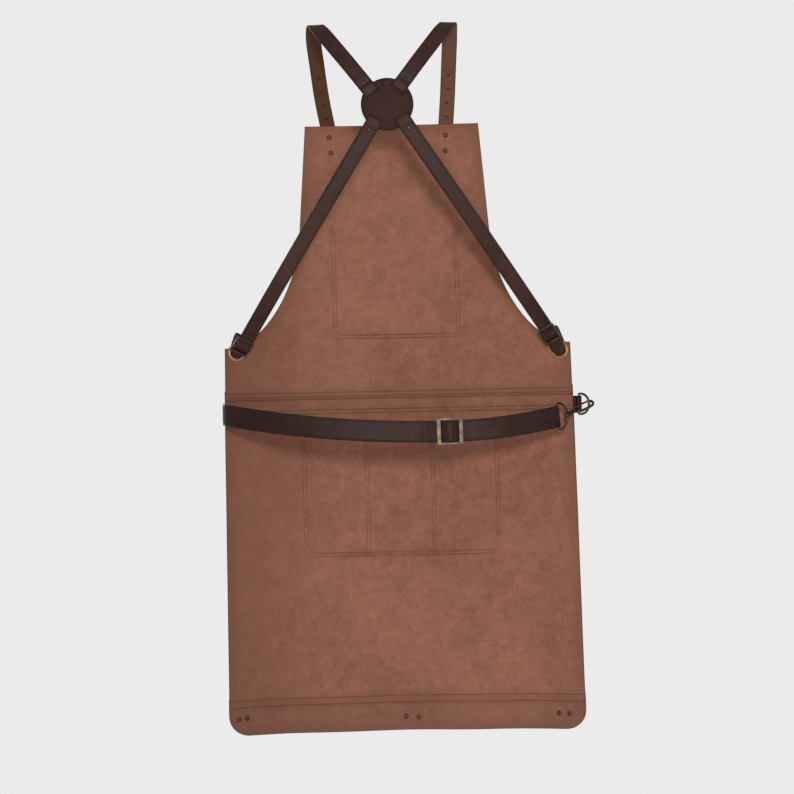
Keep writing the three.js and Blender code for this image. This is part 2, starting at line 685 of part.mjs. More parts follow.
// Shoulder straps: from their foot on the bib's front, up over the shoulder and down to the disc.
for (const shoulder of SHOULDERS) {
  const end = discEnd(shoulder);
  const route = [];
  for (const down of [1, 0.78, 0.55, 0.33, 0.02]) {
    const across = square(X, footNormal(shoulder, down));
    route.push({ place: footPoint(shoulder, down, FOOT_OFFSET), across });
  }
  const foot = route.length;
  const bibX = (shoulder.side * shoulder.bib * BIB_TOP_WIDTH) / 2;
  const crestX = (shoulder.side * shoulder.crest * BIB_TOP_WIDTH) / 2;
  for (const { out, drop, deep } of FRONT_RUN) {
    const place = vector(bibX + (crestX - bibX) * out, CHEST_DEPTH * deep, -SHOULDER_DROP * drop);
    route.push({ place, across: X });
  }
  const final = shoulder.run - 90;
  for (const { out, drop, deep, turn } of BACK_RUN) {
    const x = end.end.x + (crestX - end.end.x) * out;
    const z = end.end.z * drop + (STRAP_LEATHER / 2) * (1 - drop);
    route.push({ place: vector(x, -BACK_DEPTH * deep, z), across: heading(final * turn) });
  }
  route.push({ place: end.end, across: heading(final) });
  const free = smooth(route.slice(foot - 1), 26);
  const across = heading(final);
  const disc = end.stations.slice(0, -1).reverse().map(({ place }) => ({ place, across }));
  const stations = [...route.slice(0, foot - 1), ...free, ...disc];
  const holes = shoulderHoles(shoulder);
  holes.push(rivetHole(end.rivet, Y));
  const lengths = new THREE.CatmullRomCurve3(free.map((s) => s.place));
  for (let i = 0; i < 4; i += 1) {
    const share = (FIRST_HOLE + HOLE_PITCH * i) / lengths.getLength();
    const place = lengths.getPointAt(share);
    const axis = lengths.getTangentAt(share).cross(X).normalize();
    holes.push({ place, axis, radius: HOLE_RADIUS, reach: 2 * STRAP_LEATHER });
  }
  const strap = band(stations, STRAP_WIDTH, STRAP_LEATHER);
  piece(`shoulder_strap_${shoulder.name}`, punch(strap, holes), LEATHER_GRAIN);
  discRivet(`disc_rivet_upper_${shoulder.name}`, end.rivet);
  for (const { name, down } of SHOULDER_RIVETS) {
    const grip = PANEL_LEATHER + PANEL_LAY + STRAP_LEATHER;
    const toward = footNormal(shoulder, down).negate();
    rivet(`bib_rivet_${shoulder.name}_${name}`, footPoint(shoulder, down, 0), toward, grip);
  }
}

// A slide: a plate frame with a middle bar, its bars across the strap. The frame lies in the plane
// of along and across, and middle, bar and rail are the widths of its parts.
function slide(place, along, across, { length, inner, bar, rail, middle, plate }) {
  const half = length / 2;
  const side = inner / 2 + rail;
  const corner = Math.min(bar, rail) * 0.9;
  const outline = new THREE.Shape();
  outline.absarc(half - corner, -side + corner, corner, -Math.PI / 2, 0);
  outline.absarc(half - corner, side - corner, corner, 0, Math.PI / 2);
  outline.absarc(-half + corner, side - corner, corner, Math.PI / 2, Math.PI);
  outline.absarc(-half + corner, -side + corner, corner, Math.PI, 1.5 * Math.PI);
  const blank = new THREE.ExtrudeGeometry(outline, { depth: plate, bevelEnabled: false, curveSegments: 3 });
  blank.translate(0, 0, -plate / 2);
  let body = solid(blank);
  for (const side of [-1, 1]) {
    const window = new THREE.BoxGeometry(half - bar - middle / 2, inner, 3 * plate);
    window.translate((side * (half - bar + middle / 2)) / 2, 0, 0);
    body = body.subtract(solid(window));
  }
  const frame = unsolid(body);
  const basis = new THREE.Matrix4().makeBasis(along, across, along.clone().cross(across));
  return frame.applyMatrix4(basis.setPosition(place));
}

// A strap woven over a slide's middle bar and under its outer bars, as rows of along and off from
// the middle bar: an arc over the bar, straight down past the bend, and level under the outer bar.
function weave(over, under, bend) {
  const touch = Math.atan2(-under, bend) + Math.acos(over / Math.hypot(bend, under));
  const onArc = (angle) => [over * Math.cos(angle), over * Math.sin(angle)];
  const [touchAlong, touchOff] = onArc(touch);
  const share = 0.12;
  const half = [
    [bend + 1.2, -under],
    [bend + (touchAlong - bend) * share, -under + (touchOff + under) * share],
    onArc(touch), onArc((touch + Math.PI / 2) / 2),
  ];
  return [...half.map(([along, off]) => [-along, off]), [0, over], ...half.reverse()];
}

// A strap's end folded round a bar, as rows of along and off from the bar: it comes from one side
// of the pinch, goes round at a radius, and goes back on the pinch's other side.
function loop(radius, pinch, layer, steps = 8) {
  const start = Math.PI - Math.atan2(layer, pinch) - Math.acos(radius / Math.hypot(pinch, layer));
  const rows = [];
  for (let i = 0; i <= steps; i += 1) {
    const angle = start * (1 - (2 * i) / steps);
    rows.push([radius * Math.cos(angle), radius * Math.sin(angle)]);
  }
  return [[-pinch, layer], ...rows, [-pinch, -layer]];
}

const SLIDE_UNDER = SLIDE_WIRE / 2 + AROUND + STRAP_LEATHER / 2 + WEAVE_PLAY;
const SLIDE_WRAP = SLIDE_WIRE * Math.SQRT1_2 + AROUND + STRAP_LEATHER / 2;
const SLIDE_OVER = SLIDE_WRAP + STRAP_LEATHER + LAY + WEAVE_PLAY;
const SLIDE_BEND = SLIDE_LENGTH / 2 - (4 * SLIDE_WIRE) / 3;

// Cross straps: from the disc down to the waist corner, through the slide and the eyelet, round the
// corner's edge and back to the slide's middle bar.
for (const cross of CROSSES) {
  const end = discEnd(cross);
  const { centre, normal } = eyelet(cross);
  const near = normal.negate();
  const up = square(end.rivet.clone().sub(centre), near);
  const across = up.clone().cross(near);
  const at = (rise, off) => centre.clone().addScaledVector(up, rise).addScaledVector(near, off);
  let edge = 0;
  for (let i = 0; i <= 60; i += 1) {
    const { z, half } = armhole(0.4 + 0.01 * i);
    const point = panelPoint(cross.side * half, z, 0).sub(centre);
    if (Math.abs(point.dot(across)) < STRAP_WIDTH / 2 + 1) edge = Math.max(edge, point.dot(up));
  }

  // The slide, tilted up from the leather towards the strap's main run.
  const tilt = radians(cross.tilt);
  const slideAt = (along, off) => [
    cross.up * SLIDE_LENGTH + along * Math.cos(tilt) - off * Math.sin(tilt),
    cross.off * SLIDE_LENGTH + along * Math.sin(tilt) + off * Math.cos(tilt),
  ];
  const lower = -SLIDE_UNDER - LAY;
  const rows = [[...slideAt(1.5 * SLIDE_BEND, lower), 1]];
  for (const [along, off] of weave(SLIDE_OVER, SLIDE_UNDER, SLIDE_BEND).reverse()) {
    rows.push([...slideAt(along, off), 1]);
  }
  rows.push([...slideAt(-1.35 * SLIDE_BEND, lower), 1]);

  // Through the eyelet, along the front of the leather and back over the edge.
  const behind = -PANEL_LEATHER - EYELET_LAY - EYELET_PLATE - BEHIND_EYELET - STRAP_LEATHER / 2;
  const pinch = STRAP_IN_EYELET / STRAP_WIDTH;
  for (const row of THROUGH_EYELET) {
    const from = row.behind ? behind : 0;
    rows.push([row.rise * EYELET_BORE, from + row.off * STRAP_LEATHER, pinch]);
  }
  const turnOut = edge + STRAP_LEATHER / 2 + EDGE_PLAY;
  const overEdge = [turnOut - 0.36 * STRAP_LEATHER, 0.8 * PANEL_LEATHER];
  rows.push(
    [0.79 * EYELET_BORE, behind, 0.95],
    [edge - 2 * PANEL_LEATHER, behind, 1],
    [edge + 0.68 * STRAP_LEATHER, behind + STRAP_LEATHER / 2, 1],
    [turnOut, -PANEL_LEATHER / 2, 1],
    [...overEdge, 1],
  );

  // Round the middle bar, and the short end that is sewn back on itself.
  const bar = new THREE.Vector2(...slideAt(0, 0));
  const toBar = bar.clone().sub(new THREE.Vector2(...overEdge)).normalize();
  const beside = new THREE.Vector2(-toBar.y, toBar.x);
  const layer = STRAP_LEATHER / 2 + LAY / 2;
  const folded = loop(SLIDE_WRAP, 2.2 * SLIDE_WRAP, layer);
  for (const [out, off] of [[-SEWN_END, layer], ...folded, [-SEWN_END, -layer]]) {
    const p = bar.clone().addScaledVector(toBar, out).addScaledVector(beside, off);
    rows.push([p.x, p.y, 1]);
  }

  const corner = rows.map(([rise, off, narrow]) => ({ place: at(rise, off), across, narrow }));
  const main = [];
  const steps = 10;
  for (let i = 1; i < steps; i += 1) {
    const share = i / steps;
    const place = end.end.clone().lerp(corner[0].place, share);
    place.addScaledVector(Y, -STRAP_BOW_DEPTH * 4 * share * (1 - share));
    const along = corner[0].place.clone().sub(end.end);
    const side = end.across.clone().multiplyScalar(Math.sign(end.across.dot(across)));
    main.push({ place, across: square(side.lerp(across, share), along) });
  }
  const side = end.across.clone().multiplyScalar(Math.sign(end.across.dot(across)));
  const disc = end.stations.map(({ place }) => ({ place, across: side }));
  const strap = band([...disc, ...main, ...corner], STRAP_WIDTH, STRAP_LEATHER);
  piece(`cross_strap_${cross.name}`, punch(strap, [rivetHole(end.rivet, Y)]), LEATHER_GRAIN);
  discRivet(`disc_rivet_lower_${cross.name}`, end.rivet);

  const along = at(...slideAt(1, 0)).sub(at(...slideAt(0, 0)));
  const sizes = {
    length: SLIDE_LENGTH, inner: STRAP_WIDTH + 2 * AROUND, bar: SLIDE_WIRE, rail: SLIDE_WIRE,
    middle: SLIDE_WIRE, plate: SLIDE_WIRE,
  };
  piece(`cross_buckle_${cross.name}`, slide(at(...slideAt(0, 0)), along, across, sizes), AGED_BRASS);

  const top = EYELET_PLATE + EYELET_LAY;
  const under = -PANEL_LEATHER - EYELET_LAY;
  const wallRadius = EYELET_BORE + EYELET_WALL;
  const soft = 0.6 * EYELET_PLATE;
  const profile = [
    [EYELET_BORE, top], [EYELET_FLANGE - soft, top], [EYELET_FLANGE, top - soft], [EYELET_FLANGE, EYELET_LAY],
    [wallRadius, EYELET_LAY], [wallRadius, under], [EYELET_FLANGE, under],
    [EYELET_FLANGE, under - EYELET_PLATE], [EYELET_BORE, under - EYELET_PLATE], [EYELET_BORE, top],
  ];
  piece(`corner_eyelet_${cross.name}`, turned(profile, EYELET_SIDES, centre, near), PALE_BRASS);
}

// The ring on the skirt's right edge: a straight bar in a folded tab, and a bow.
const ringZ = CORNER_Z - RING_DROP;
const ringHalf = skirtHalf(ringZ);
const tabMiddle = SKIRT_OFFSET + PANEL_LEATHER + PANEL_LAY + TAB_LEATHER + LAY / 2;
const sideways = square(X, panelNormal(ringHalf, ringZ));
const ringBar = panelPoint(ringHalf, ringZ, tabMiddle).addScaledVector(sideways, RING_STANDOFF);
const ringOut = vector(Math.cos(radians(RING_HEADING)), Math.sin(radians(RING_HEADING)), 0);
const ringMeet = ringBar.clone().addScaledVector(ringOut, RING_DEPTH);
const bow = [];
for (let degrees = -90; degrees <= 90; degrees += 12) {
  const turn = radians(degrees);
  const out = RING_DEPTH * Math.abs(Math.cos(turn)) ** 0.8;
  bow.push([out, (RING_HEIGHT / 2) * Math.sin(turn)]);
}
const ringLine = [...bow, [0, RING_HEIGHT * 0.25], [0, 0], [0, -RING_HEIGHT * 0.25]];
const ring = wire(ringLine, RING_WIRE, 8, true);
const ringBasis = new THREE.Matrix4().makeBasis(ringOut, Z, ringOut.clone().cross(Z));
ring.applyMatrix4(ringBasis.setPosition(ringBar));
piece('d_ring', ring, AGED_BRASS);

// The tab that holds the ring: both its layers are sewn to the front of the skirt.
const tabWrap = RING_WIRE / 2 + AROUND + TAB_LEATHER / 2;
const tabLayer = (TAB_LEATHER + LAY) / 2;
const tabStations = [];
function tabStation(out, off) {
  const onto = Math.min(out, 0);
  const across = ringHalf + onto;
  const place = panelPoint(across, ringZ, tabMiddle + off).addScaledVector(sideways, out - onto);
  tabStations.push({ place, across: square(Z, panelNormal(across, ringZ)) });
}
for (const share of [1, 0.66, 0.33, 0]) tabStation(-TAB_LENGTH * share, -tabLayer);
for (const [out, off] of loop(tabWrap, 2.2 * tabWrap, -tabLayer)) tabStation(RING_STANDOFF + out, off);
for (const share of [0, 0.33, 0.66, 1]) tabStation(-TAB_LENGTH * share, tabLayer);
piece('d_ring_tab', band(tabStations, TAB_WIDTH, TAB_LEATHER), LEATHER_GRAIN);

// The waist belt's line: it leaves the left edge of the skirt straight back, swings round behind
// the wearer as a squarish oval and comes to the snap on the right, and it sags to one low place.
// The oval's own end lies a little beyond the snap's eye.
const beltLeftZ = CORNER_Z - BELT_DROP + BELT_RISE;
const beltLowZ = CORNER_Z - BELT_DROP;
const edgeMiddle = SKIRT_OFFSET + PANEL_LEATHER / 2;
const edgeRadius = PANEL_LEATHER / 2 + LAY + AROUND + BELT_LEATHER / 2;
const leftEdge = panelPoint(-skirtHalf(beltLeftZ), beltLeftZ, edgeMiddle);
const beltLeft = leftEdge.x - edgeRadius;
const eyeX = ringMeet.x - SNAP_RUN;
const beltRight = 1.065 * eyeX;

function beltPoint(degrees) {
  const turn = radians(degrees);
  const reach = degrees < 0 ? -beltLeft : beltRight;
  const x = Math.sign(degrees) * reach * Math.abs(Math.sin(turn)) ** (2 / 2.6);
  const y = leftEdge.y - (leftEdge.y + BELT_DEPTH) * Math.cos(turn);
  const rise = BELT_RISE * ((x - BELT_LOW_SIDE) / (beltLeft - BELT_LOW_SIDE)) ** 2;
  return vector(x, y, beltLowZ + (x > BELT_LOW_SIDE ? 2 * rise : rise));
}

const beltTurns = [];
for (let degrees = -90; degrees <= 70; degrees += 5) beltTurns.push(degrees);
const beltLine = new THREE.CatmullRomCurve3(beltTurns.map(beltPoint));
beltLine.arcLengthDivisions = 800;
const beltLength = beltLine.getLength();

// How far along the belt's line a side position lies.
function beltReach(x) {
  let low = 0;
  let high = 1;
  for (let i = 0; i < 40; i += 1) {
    const middle = (low + high) / 2;
    if (beltLine.getPointAt(middle).x < x) low = middle;
    else high = middle;
  }
  return low * beltLength;
}
const buckleReach = beltReach(BELT_BUCKLE_SIDE);
const eyeReach = beltReach(eyeX);

// A place on the belt: reach is measured along its line, off is out from the wearer's back.
function beltStation(reach, off) {
  const share = THREE.MathUtils.clamp(reach / beltLength, 0, 1);
  const along = beltLine.getTangentAt(share);
  const across = square(Z, along);
  const out = along.clone().cross(across).negate();
  if (out.y > 0) out.negate();
  return { place: beltLine.getPointAt(share).addScaledVector(out, off), across, along, out };
}

// How both belts pass the buckle, as rows of along and off from its middle bar. The right belt
// goes under one outer bar, over the fold of the left belt and under the other bar, and its tail
// lies on the left belt. The left belt runs one step below it and folds round the middle bar.
const BUCKLE_UNDER = BELT_BUCKLE_PLATE / 2 + AROUND + 3 * WEAVE_PLAY + BELT_LEATHER / 2;
const BUCKLE_STEP = BELT_LEATHER + LAY + WEAVE_PLAY;
const BUCKLE_WIRE = Math.hypot(BELT_BUCKLE_MIDDLE, BELT_BUCKLE_PLATE) / 2;
const BUCKLE_WRAP = BUCKLE_WIRE + AROUND + BELT_LEATHER / 2;
const BUCKLE_HALF = BELT_BUCKLE_LENGTH / 2;
const BUCKLE_BEND = BUCKLE_HALF - BELT_BUCKLE_BAR - 4 * WEAVE_PLAY;
const TAIL_OFF = BUCKLE_STEP / 2;
const TAIL_BEND = (TAIL_OFF - BUCKLE_UNDER) / 2;
const rightPass = [
  [-BELT_TAIL, TAIL_OFF],
  [-0.87 * BELT_TAIL, TAIL_OFF],
  [-0.68 * BELT_TAIL, TAIL_BEND],
  [-BUCKLE_HALF, -BUCKLE_UNDER],
  ...weave(BUCKLE_WRAP + BUCKLE_STEP, BUCKLE_UNDER, BUCKLE_BEND),
  [BUCKLE_HALF, -BUCKLE_UNDER],
  [1.4 * BUCKLE_HALF, -0.5 * BUCKLE_UNDER],
  [1.8 * BUCKLE_HALF, -0.1 * BUCKLE_UNDER],
];
const leftUnder = BUCKLE_UNDER + BUCKLE_STEP;
const leftPass = [
  [-1.7 * BELT_TAIL, 0],
  [-1.5 * BELT_TAIL, -0.3 * TAIL_OFF],
  [-1.25 * BELT_TAIL, -TAIL_OFF],
  [-BELT_TAIL, -TAIL_OFF],
  [-0.87 * BELT_TAIL, -TAIL_OFF],
  [-0.68 * BELT_TAIL, TAIL_BEND - BUCKLE_STEP],
  [-BUCKLE_HALF, -leftUnder],
  ...weave(BUCKLE_WRAP, leftUnder, BUCKLE_BEND - 0.4 * BUCKLE_STEP).slice(0, 4),
];
const foldTouch = -Math.PI / 2 + 0.3;
for (let i = 0; i <= 8; i += 1) {
  const angle = THREE.MathUtils.lerp(Math.PI / 2, foldTouch, i / 8);
  leftPass.push([BUCKLE_WRAP * Math.cos(angle), BUCKLE_WRAP * Math.sin(angle)]);
}
const foldUnder = leftUnder + BUCKLE_STEP;
leftPass.push(
  [-BUCKLE_BEND, -foldUnder],
  [-BUCKLE_HALF, -foldUnder],
  [-0.68 * BELT_TAIL, TAIL_BEND - 2 * BUCKLE_STEP],
  [-0.87 * BELT_TAIL, -TAIL_OFF - BUCKLE_STEP],
  [-BELT_TAIL, -TAIL_OFF - BUCKLE_STEP],
  [-BELT_FOLD, -TAIL_OFF - BUCKLE_STEP],
);
const onBelt = ([along, off]) => beltStation(buckleReach + along, off);

// The left belt: sewn along the front of the skirt, round its edge, round the back to the buckle.
const leftStations = [];
for (const share of [1, 0.66, 0.33, 0.03]) {
  const across = -skirtHalf(beltLeftZ) + BELT_FRONT_RUN * share;
  const place = panelPoint(across, beltLeftZ, edgeMiddle + edgeRadius);
  leftStations.push({ place, across: square(Z, panelNormal(across, beltLeftZ)) });
}
const edgeNormal = panelNormal(-skirtHalf(beltLeftZ), beltLeftZ);
const startTurn = Math.atan2(edgeNormal.y, edgeNormal.x);
for (const share of [0.15, 0.4, 0.7]) {
  const turn = THREE.MathUtils.lerp(startTurn, Math.PI, share);
  const place = leftEdge.clone().add(vector(edgeRadius * Math.cos(turn), edgeRadius * Math.sin(turn), 0));
  leftStations.push({ place, across: Z });
}
const passStart = buckleReach - 1.7 * BELT_TAIL;
for (let i = 0; i < 16; i += 1) leftStations.push(beltStation((passStart * i) / 16, 0));
leftStations.push(...leftPass.map(onBelt));
piece('belt_left', band(leftStations, BELT_WIDTH, BELT_LEATHER), LEATHER_GRAIN);

// The snap: an eye in the belt's folded end, and a hook that turns in the eye and holds the ring.
const eyeStation = beltStation(eyeReach, -(BELT_LEATHER + LAY) / 2);
const eyeBar = eyeStation.place;
const eyeUp = eyeStation.across;
const eyeOut = square(ringMeet.clone().sub(eyeBar).normalize().add(eyeStation.along), eyeUp);
const swivel = eyeBar.clone().addScaledVector(eyeOut, EYE_REACH);
const hookAlong = ringMeet.clone().sub(swivel).normalize();
const eyeHeight = (BELT_WIDTH + EYE_WIRE) / 2 + 2 * AROUND;
const eyeSide = [[0, 0], [0, 0.9], [0.12, 1.05], [0.5, 0.98], [0.8, 0.62], [0.97, 0.25]];
const eyeUpper = eyeSide.map(([out, high]) => [out * EYE_REACH, high * eyeHeight]);
const eyeLower = eyeUpper.slice(1).reverse().map(([out, high]) => [out, -high]);
const eyeLoop = wire(curve([...eyeUpper, ...eyeLower], 28, true), EYE_WIRE, 8, true);
const eyeBasis = new THREE.Matrix4().makeBasis(eyeOut, eyeUp, eyeOut.clone().cross(eyeUp));
eyeLoop.applyMatrix4(eyeBasis.setPosition(eyeBar));
const bossProfile = [
  [0, -SWIVEL_HALF],
  [SWIVEL_RADIUS * 0.75, -SWIVEL_HALF],
  [SWIVEL_RADIUS, -0.44 * SWIVEL_HALF],
  [SWIVEL_RADIUS, 0.44 * SWIVEL_HALF],
  [SWIVEL_RADIUS * 0.75, SWIVEL_HALF],
  [0, SWIVEL_HALF],
];
const boss = turned(bossProfile, 12, swivel, hookAlong);
const bore = {
  place: swivel,
  axis: hookAlong,
  radius: SWIVEL_SHANK + RUNNING,
  reach: 2.2 * SWIVEL_RADIUS,
  sides: 16,
};
piece('snap_eye', punch(join(eyeLoop, boss), [bore]), AGED_BRASS);
const hookLevel = Z.clone().cross(hookAlong).normalize();
const hookSide = hookLevel.clone().multiplyScalar(Math.cos(radians(HOOK_ROLL)));
hookSide.addScaledVector(hookAlong.clone().cross(hookLevel), Math.sin(radians(HOOK_ROLL)));

// The hook in its own frame: along its shank, towards its gate, and square to both.
const hook = new THREE.Group();
hook.name = 'hook_frame';
hook.position.copy(swivel);
hook.quaternion.setFromRotationMatrix(
  new THREE.Matrix4().makeBasis(hookAlong, hookSide, hookAlong.clone().cross(hookSide)),
);
group.add(hook);
const hookTip = swivel.distanceTo(ringMeet) + RING_WIRE / 2 + RING_PLAY + HOOK_WIRE / 2;
const hookHalf = (HOOK_WIDTH - HOOK_WIRE) / 2;
const noseAt = hookTip - hookHalf * 1.15;
const gateHinge = HOOK_NECK + 0.33 * HOOK_WIRE;
const neckStart = HOOK_NECK - 1.3 * HOOK_WIRE;
const hookLine = [
  [neckStart, 0],
  [HOOK_NECK - 0.43 * HOOK_WIRE, -0.2 * hookHalf],
  [HOOK_NECK + 0.43 * HOOK_WIRE, -0.8 * hookHalf],
  [HOOK_NECK + 1.74 * HOOK_WIRE, -hookHalf],
  [hookTip - hookHalf, -hookHalf],
  [hookTip - 0.25 * hookHalf, -0.7 * hookHalf],
  [hookTip, 0],
  [hookTip - 0.25 * hookHalf, 0.7 * hookHalf],
  [noseAt, hookHalf],
];
const hookBody = wire(curve(hookLine, 26), HOOK_WIRE, 8, false);
const collarFrom = SWIVEL_HALF + RUNNING;
const collarEnd = collarFrom + 1.1 * SWIVEL_SHANK;
const shankProfile = [
  [0, -collarEnd],
  [1.45 * SWIVEL_SHANK, -collarEnd],
  [1.7 * SWIVEL_SHANK, -collarFrom],
  [SWIVEL_SHANK, -collarFrom],
  [SWIVEL_SHANK, collarFrom],
  [1.9 * SWIVEL_SHANK, collarFrom],
  [1.6 * SWIVEL_SHANK, HOOK_NECK - 0.65 * HOOK_WIRE],
  [0, HOOK_NECK - 0.43 * HOOK_WIRE],
];
const shank = turned(shankProfile, 12, vector(0, 0, 0), X);

// The gate's seat: a short arm off the neck that carries the gate's hinge.
const seatHigh = hookHalf - GATE_WIRE / 2 - RUNNING;
const seatLine = [
  [HOOK_NECK - 1.09 * HOOK_WIRE, 0],
  [HOOK_NECK - 0.43 * HOOK_WIRE, 0.55 * seatHigh],
  [gateHinge - 0.26 * HOOK_WIRE, seatHigh - 0.26 * HOOK_WIRE],
];
const seat = wire(seatLine, 0.8 * HOOK_WIRE, 8, false);
piece('snap_hook', join(hookBody, shank, seat), AGED_BRASS, hook);

const gate = new THREE.Group();
gate.name = 'gate_frame';
gate.position.set(gateHinge, hookHalf, 0);
hook.add(gate);
const gateLength = noseAt - gateHinge - 2 * RUNNING;
const gateLine = [
  [-0.3 * GATE_WIRE, 0],
  [0.35 * gateLength, 0.15 * GATE_WIRE],
  [0.7 * gateLength, 0.09 * GATE_WIRE],
  [gateLength, 0],
];
piece('snap_gate', wire(gateLine, GATE_WIRE, 8, false), AGED_BRASS, gate);

// The right belt: its tail and the buckle, round the back, and folded round the snap's eye.
const eyeWrap = EYE_WIRE / 2 + AROUND + BELT_LEATHER / 2 + WEAVE_PLAY;
const rightStations = rightPass.map(onBelt);
const runFrom = buckleReach + 2.1 * BUCKLE_HALF;
const openFrom = eyeReach - 3.6 * eyeWrap;
for (let i = 0; i <= 8; i += 1) {
  rightStations.push(beltStation(THREE.MathUtils.lerp(runFrom, openFrom, i / 8), 0));
}
const eyeLayer = (BELT_LEATHER + LAY) / 2;
for (const [along, off] of loop(eyeWrap, 2.2 * eyeWrap, eyeLayer)) {
  const place = eyeBar.clone().addScaledVector(eyeStation.along, along).addScaledVector(eyeStation.out, off);
  rightStations.push({ place, across: square(eyeUp, eyeStation.along) });
}
for (const share of [0, 0.33, 0.66, 1]) {
  rightStations.push(beltStation(openFrom - EYE_FOLD * share, -2 * eyeLayer));
}
piece('belt_right', band(rightStations, BELT_WIDTH, BELT_LEATHER), LEATHER_GRAIN);

const buckle = beltStation(buckleReach, 0);
const buckleSizes = {
  length: BELT_BUCKLE_LENGTH,
  inner: BELT_WIDTH + 4 * AROUND,
  bar: BELT_BUCKLE_BAR,
  rail: BELT_BUCKLE_RAIL,
  middle: BELT_BUCKLE_MIDDLE,
  plate: BELT_BUCKLE_PLATE,
};
piece('belt_buckle', slide(buckle.place, buckle.along, buckle.across, buckleSizes), AGED_BRASS);

export default group;
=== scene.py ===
# A leather work apron in its worn shape, seen from behind: the flesh side of bib and skirt, the
# back disc with its straps, and the belt. Each piece has a section of its own. Shapes are worked
# out in millimetres, in the CAD's frame, and made in metres.
import math

import bpy
import bmesh
import numpy as np
from mathutils import Matrix, Vector


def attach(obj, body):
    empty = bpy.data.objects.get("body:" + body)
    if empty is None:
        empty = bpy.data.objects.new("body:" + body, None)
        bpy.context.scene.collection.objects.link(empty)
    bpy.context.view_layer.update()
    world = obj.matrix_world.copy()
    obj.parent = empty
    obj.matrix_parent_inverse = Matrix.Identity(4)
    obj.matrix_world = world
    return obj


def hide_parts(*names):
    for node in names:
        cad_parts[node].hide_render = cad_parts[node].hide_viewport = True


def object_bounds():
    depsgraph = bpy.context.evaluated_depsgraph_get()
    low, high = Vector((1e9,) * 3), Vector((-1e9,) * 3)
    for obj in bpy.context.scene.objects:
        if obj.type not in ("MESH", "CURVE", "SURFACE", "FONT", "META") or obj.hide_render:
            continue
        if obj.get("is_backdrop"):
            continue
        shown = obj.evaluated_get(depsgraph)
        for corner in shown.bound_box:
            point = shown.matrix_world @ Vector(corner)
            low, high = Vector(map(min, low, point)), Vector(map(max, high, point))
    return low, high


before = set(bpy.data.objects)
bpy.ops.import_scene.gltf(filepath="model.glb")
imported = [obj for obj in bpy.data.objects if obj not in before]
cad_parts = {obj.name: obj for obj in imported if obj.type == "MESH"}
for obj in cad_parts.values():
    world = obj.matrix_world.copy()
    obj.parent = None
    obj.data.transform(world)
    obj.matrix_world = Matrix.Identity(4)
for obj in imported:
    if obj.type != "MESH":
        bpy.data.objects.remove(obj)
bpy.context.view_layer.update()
scene = bpy.context.scene

# Bib: 2 mm leather with its rough flesh side to the wearer and the camera. It hangs from the
# shoulder straps, flat across the chest and swept back at the waist, with scooped armholes.
LENGTH = 1007.1
BIB_TOP = -157.0
ARMHOLE = -340.0
CORNER = -525.0
BIB_BOTTOM = -611.0
HEM = BIB_TOP - LENGTH
TOP_HALF = 144.0
CHEST_HALF = 158.0
WAIST_HALF = 282.5
HEM_HALF = 292.5
HEM_CORNER = 33.0
CHEST_DEPTH = 78.0
SWEEP = 72.0
RIPPLE = 4.0
LEAN = 7.0
LEATHER = 2.0
LAY = 0.55
HANG = np.array([
    # down, deep, sweep, wave
    (0.0, 0.92, 0.43, 0.0),
    (0.24, 1.0, 0.83, 0.0),
    (0.365, 0.95, 1.0, 0.0),
    (0.49, 0.9, 0.97, 0.1),
    (0.7, 0.8, 0.75, 0.5),
    (1.0, 0.74, 0.52, 1.0),
])


def hang(z, column):
    """Reads a column of HANG at heights, as a smooth curve through its rows."""
    key, value = HANG[:, 0], HANG[:, column]
    at = (BIB_TOP - z) / LENGTH
    i = np.clip(np.searchsorted(key, at) - 1, 0, len(key) - 2)
    before, after = np.maximum(i - 1, 0), np.minimum(i + 2, len(key) - 1)
    first = (value[i + 1] - value[before]) / (key[i + 1] - key[before])
    second = (value[after] - value[i]) / (key[after] - key[i])
    span = key[i + 1] - key[i]
    t = np.clip((at - key[i]) / span, 0, 1)
    bend = span * (first * t * (1 - t) ** 2 - second * t * t * (1 - t))
    return value[i] + (value[i + 1] - value[i]) * t * t * (3 - 2 * t) + bend


def panel_depth(across, z):
    """Depth of the bib's near face, with the leather's soft unevenness."""
    swept = SWEEP * hang(z, 2) * (across / WAIST_HALF) ** 2
    wave = RIPPLE * hang(z, 3) * np.cos(2 * np.pi * across / 205)
    soft = 0.5 * np.sin(across / 37 + z / 61) * np.sin(z / 47 - across / 83)
    soft += 0.35 * np.sin(across / 19 - z / 33 + 1.3) * np.sin(z / 71)
    return CHEST_DEPTH * hang(z, 1) - swept + wave + soft


def panel_normal(across, z):
    sideways = (panel_depth(across + 1, z) - panel_depth(across - 1, z)) / 2
    upwards = (panel_depth(across, z + 1) - panel_depth(across, z - 1)) / 2
    normal = np.stack([-sideways, np.ones_like(sideways), -upwards], -1)
    return normal / np.linalg.norm(normal, axis=-1, keepdims=True)


def panel_point(across, z, offset):
    """Points at an offset in front of the bib's near face."""
    across, z, offset = np.broadcast_arrays(across, z, offset)
    across, z = across.astype(float), z.astype(float)
    drift = LEAN * (BIB_TOP - z) / LENGTH
    base = np.stack([across + drift, panel_depth(across, z), z], -1)
    return base + panel_normal(across, z) * offset[..., None]


def skirt_half(z):
    """Half the skirt's width at a height, with the hem's round corners."""
    z = np.asarray(z, float)
    half = np.interp(-z, [-CORNER, -HEM], [WAIST_HALF, HEM_HALF])
    into = np.clip(HEM + HEM_CORNER - z, 0, HEM_CORNER)
    return half - np.where(into > 0, HEM_CORNER - np.sqrt(HEM_CORNER**2 - into**2), 0)


def placed(name, data):
    made = bpy.data.objects.new(name, data)
    scene.collection.objects.link(made)
    return made


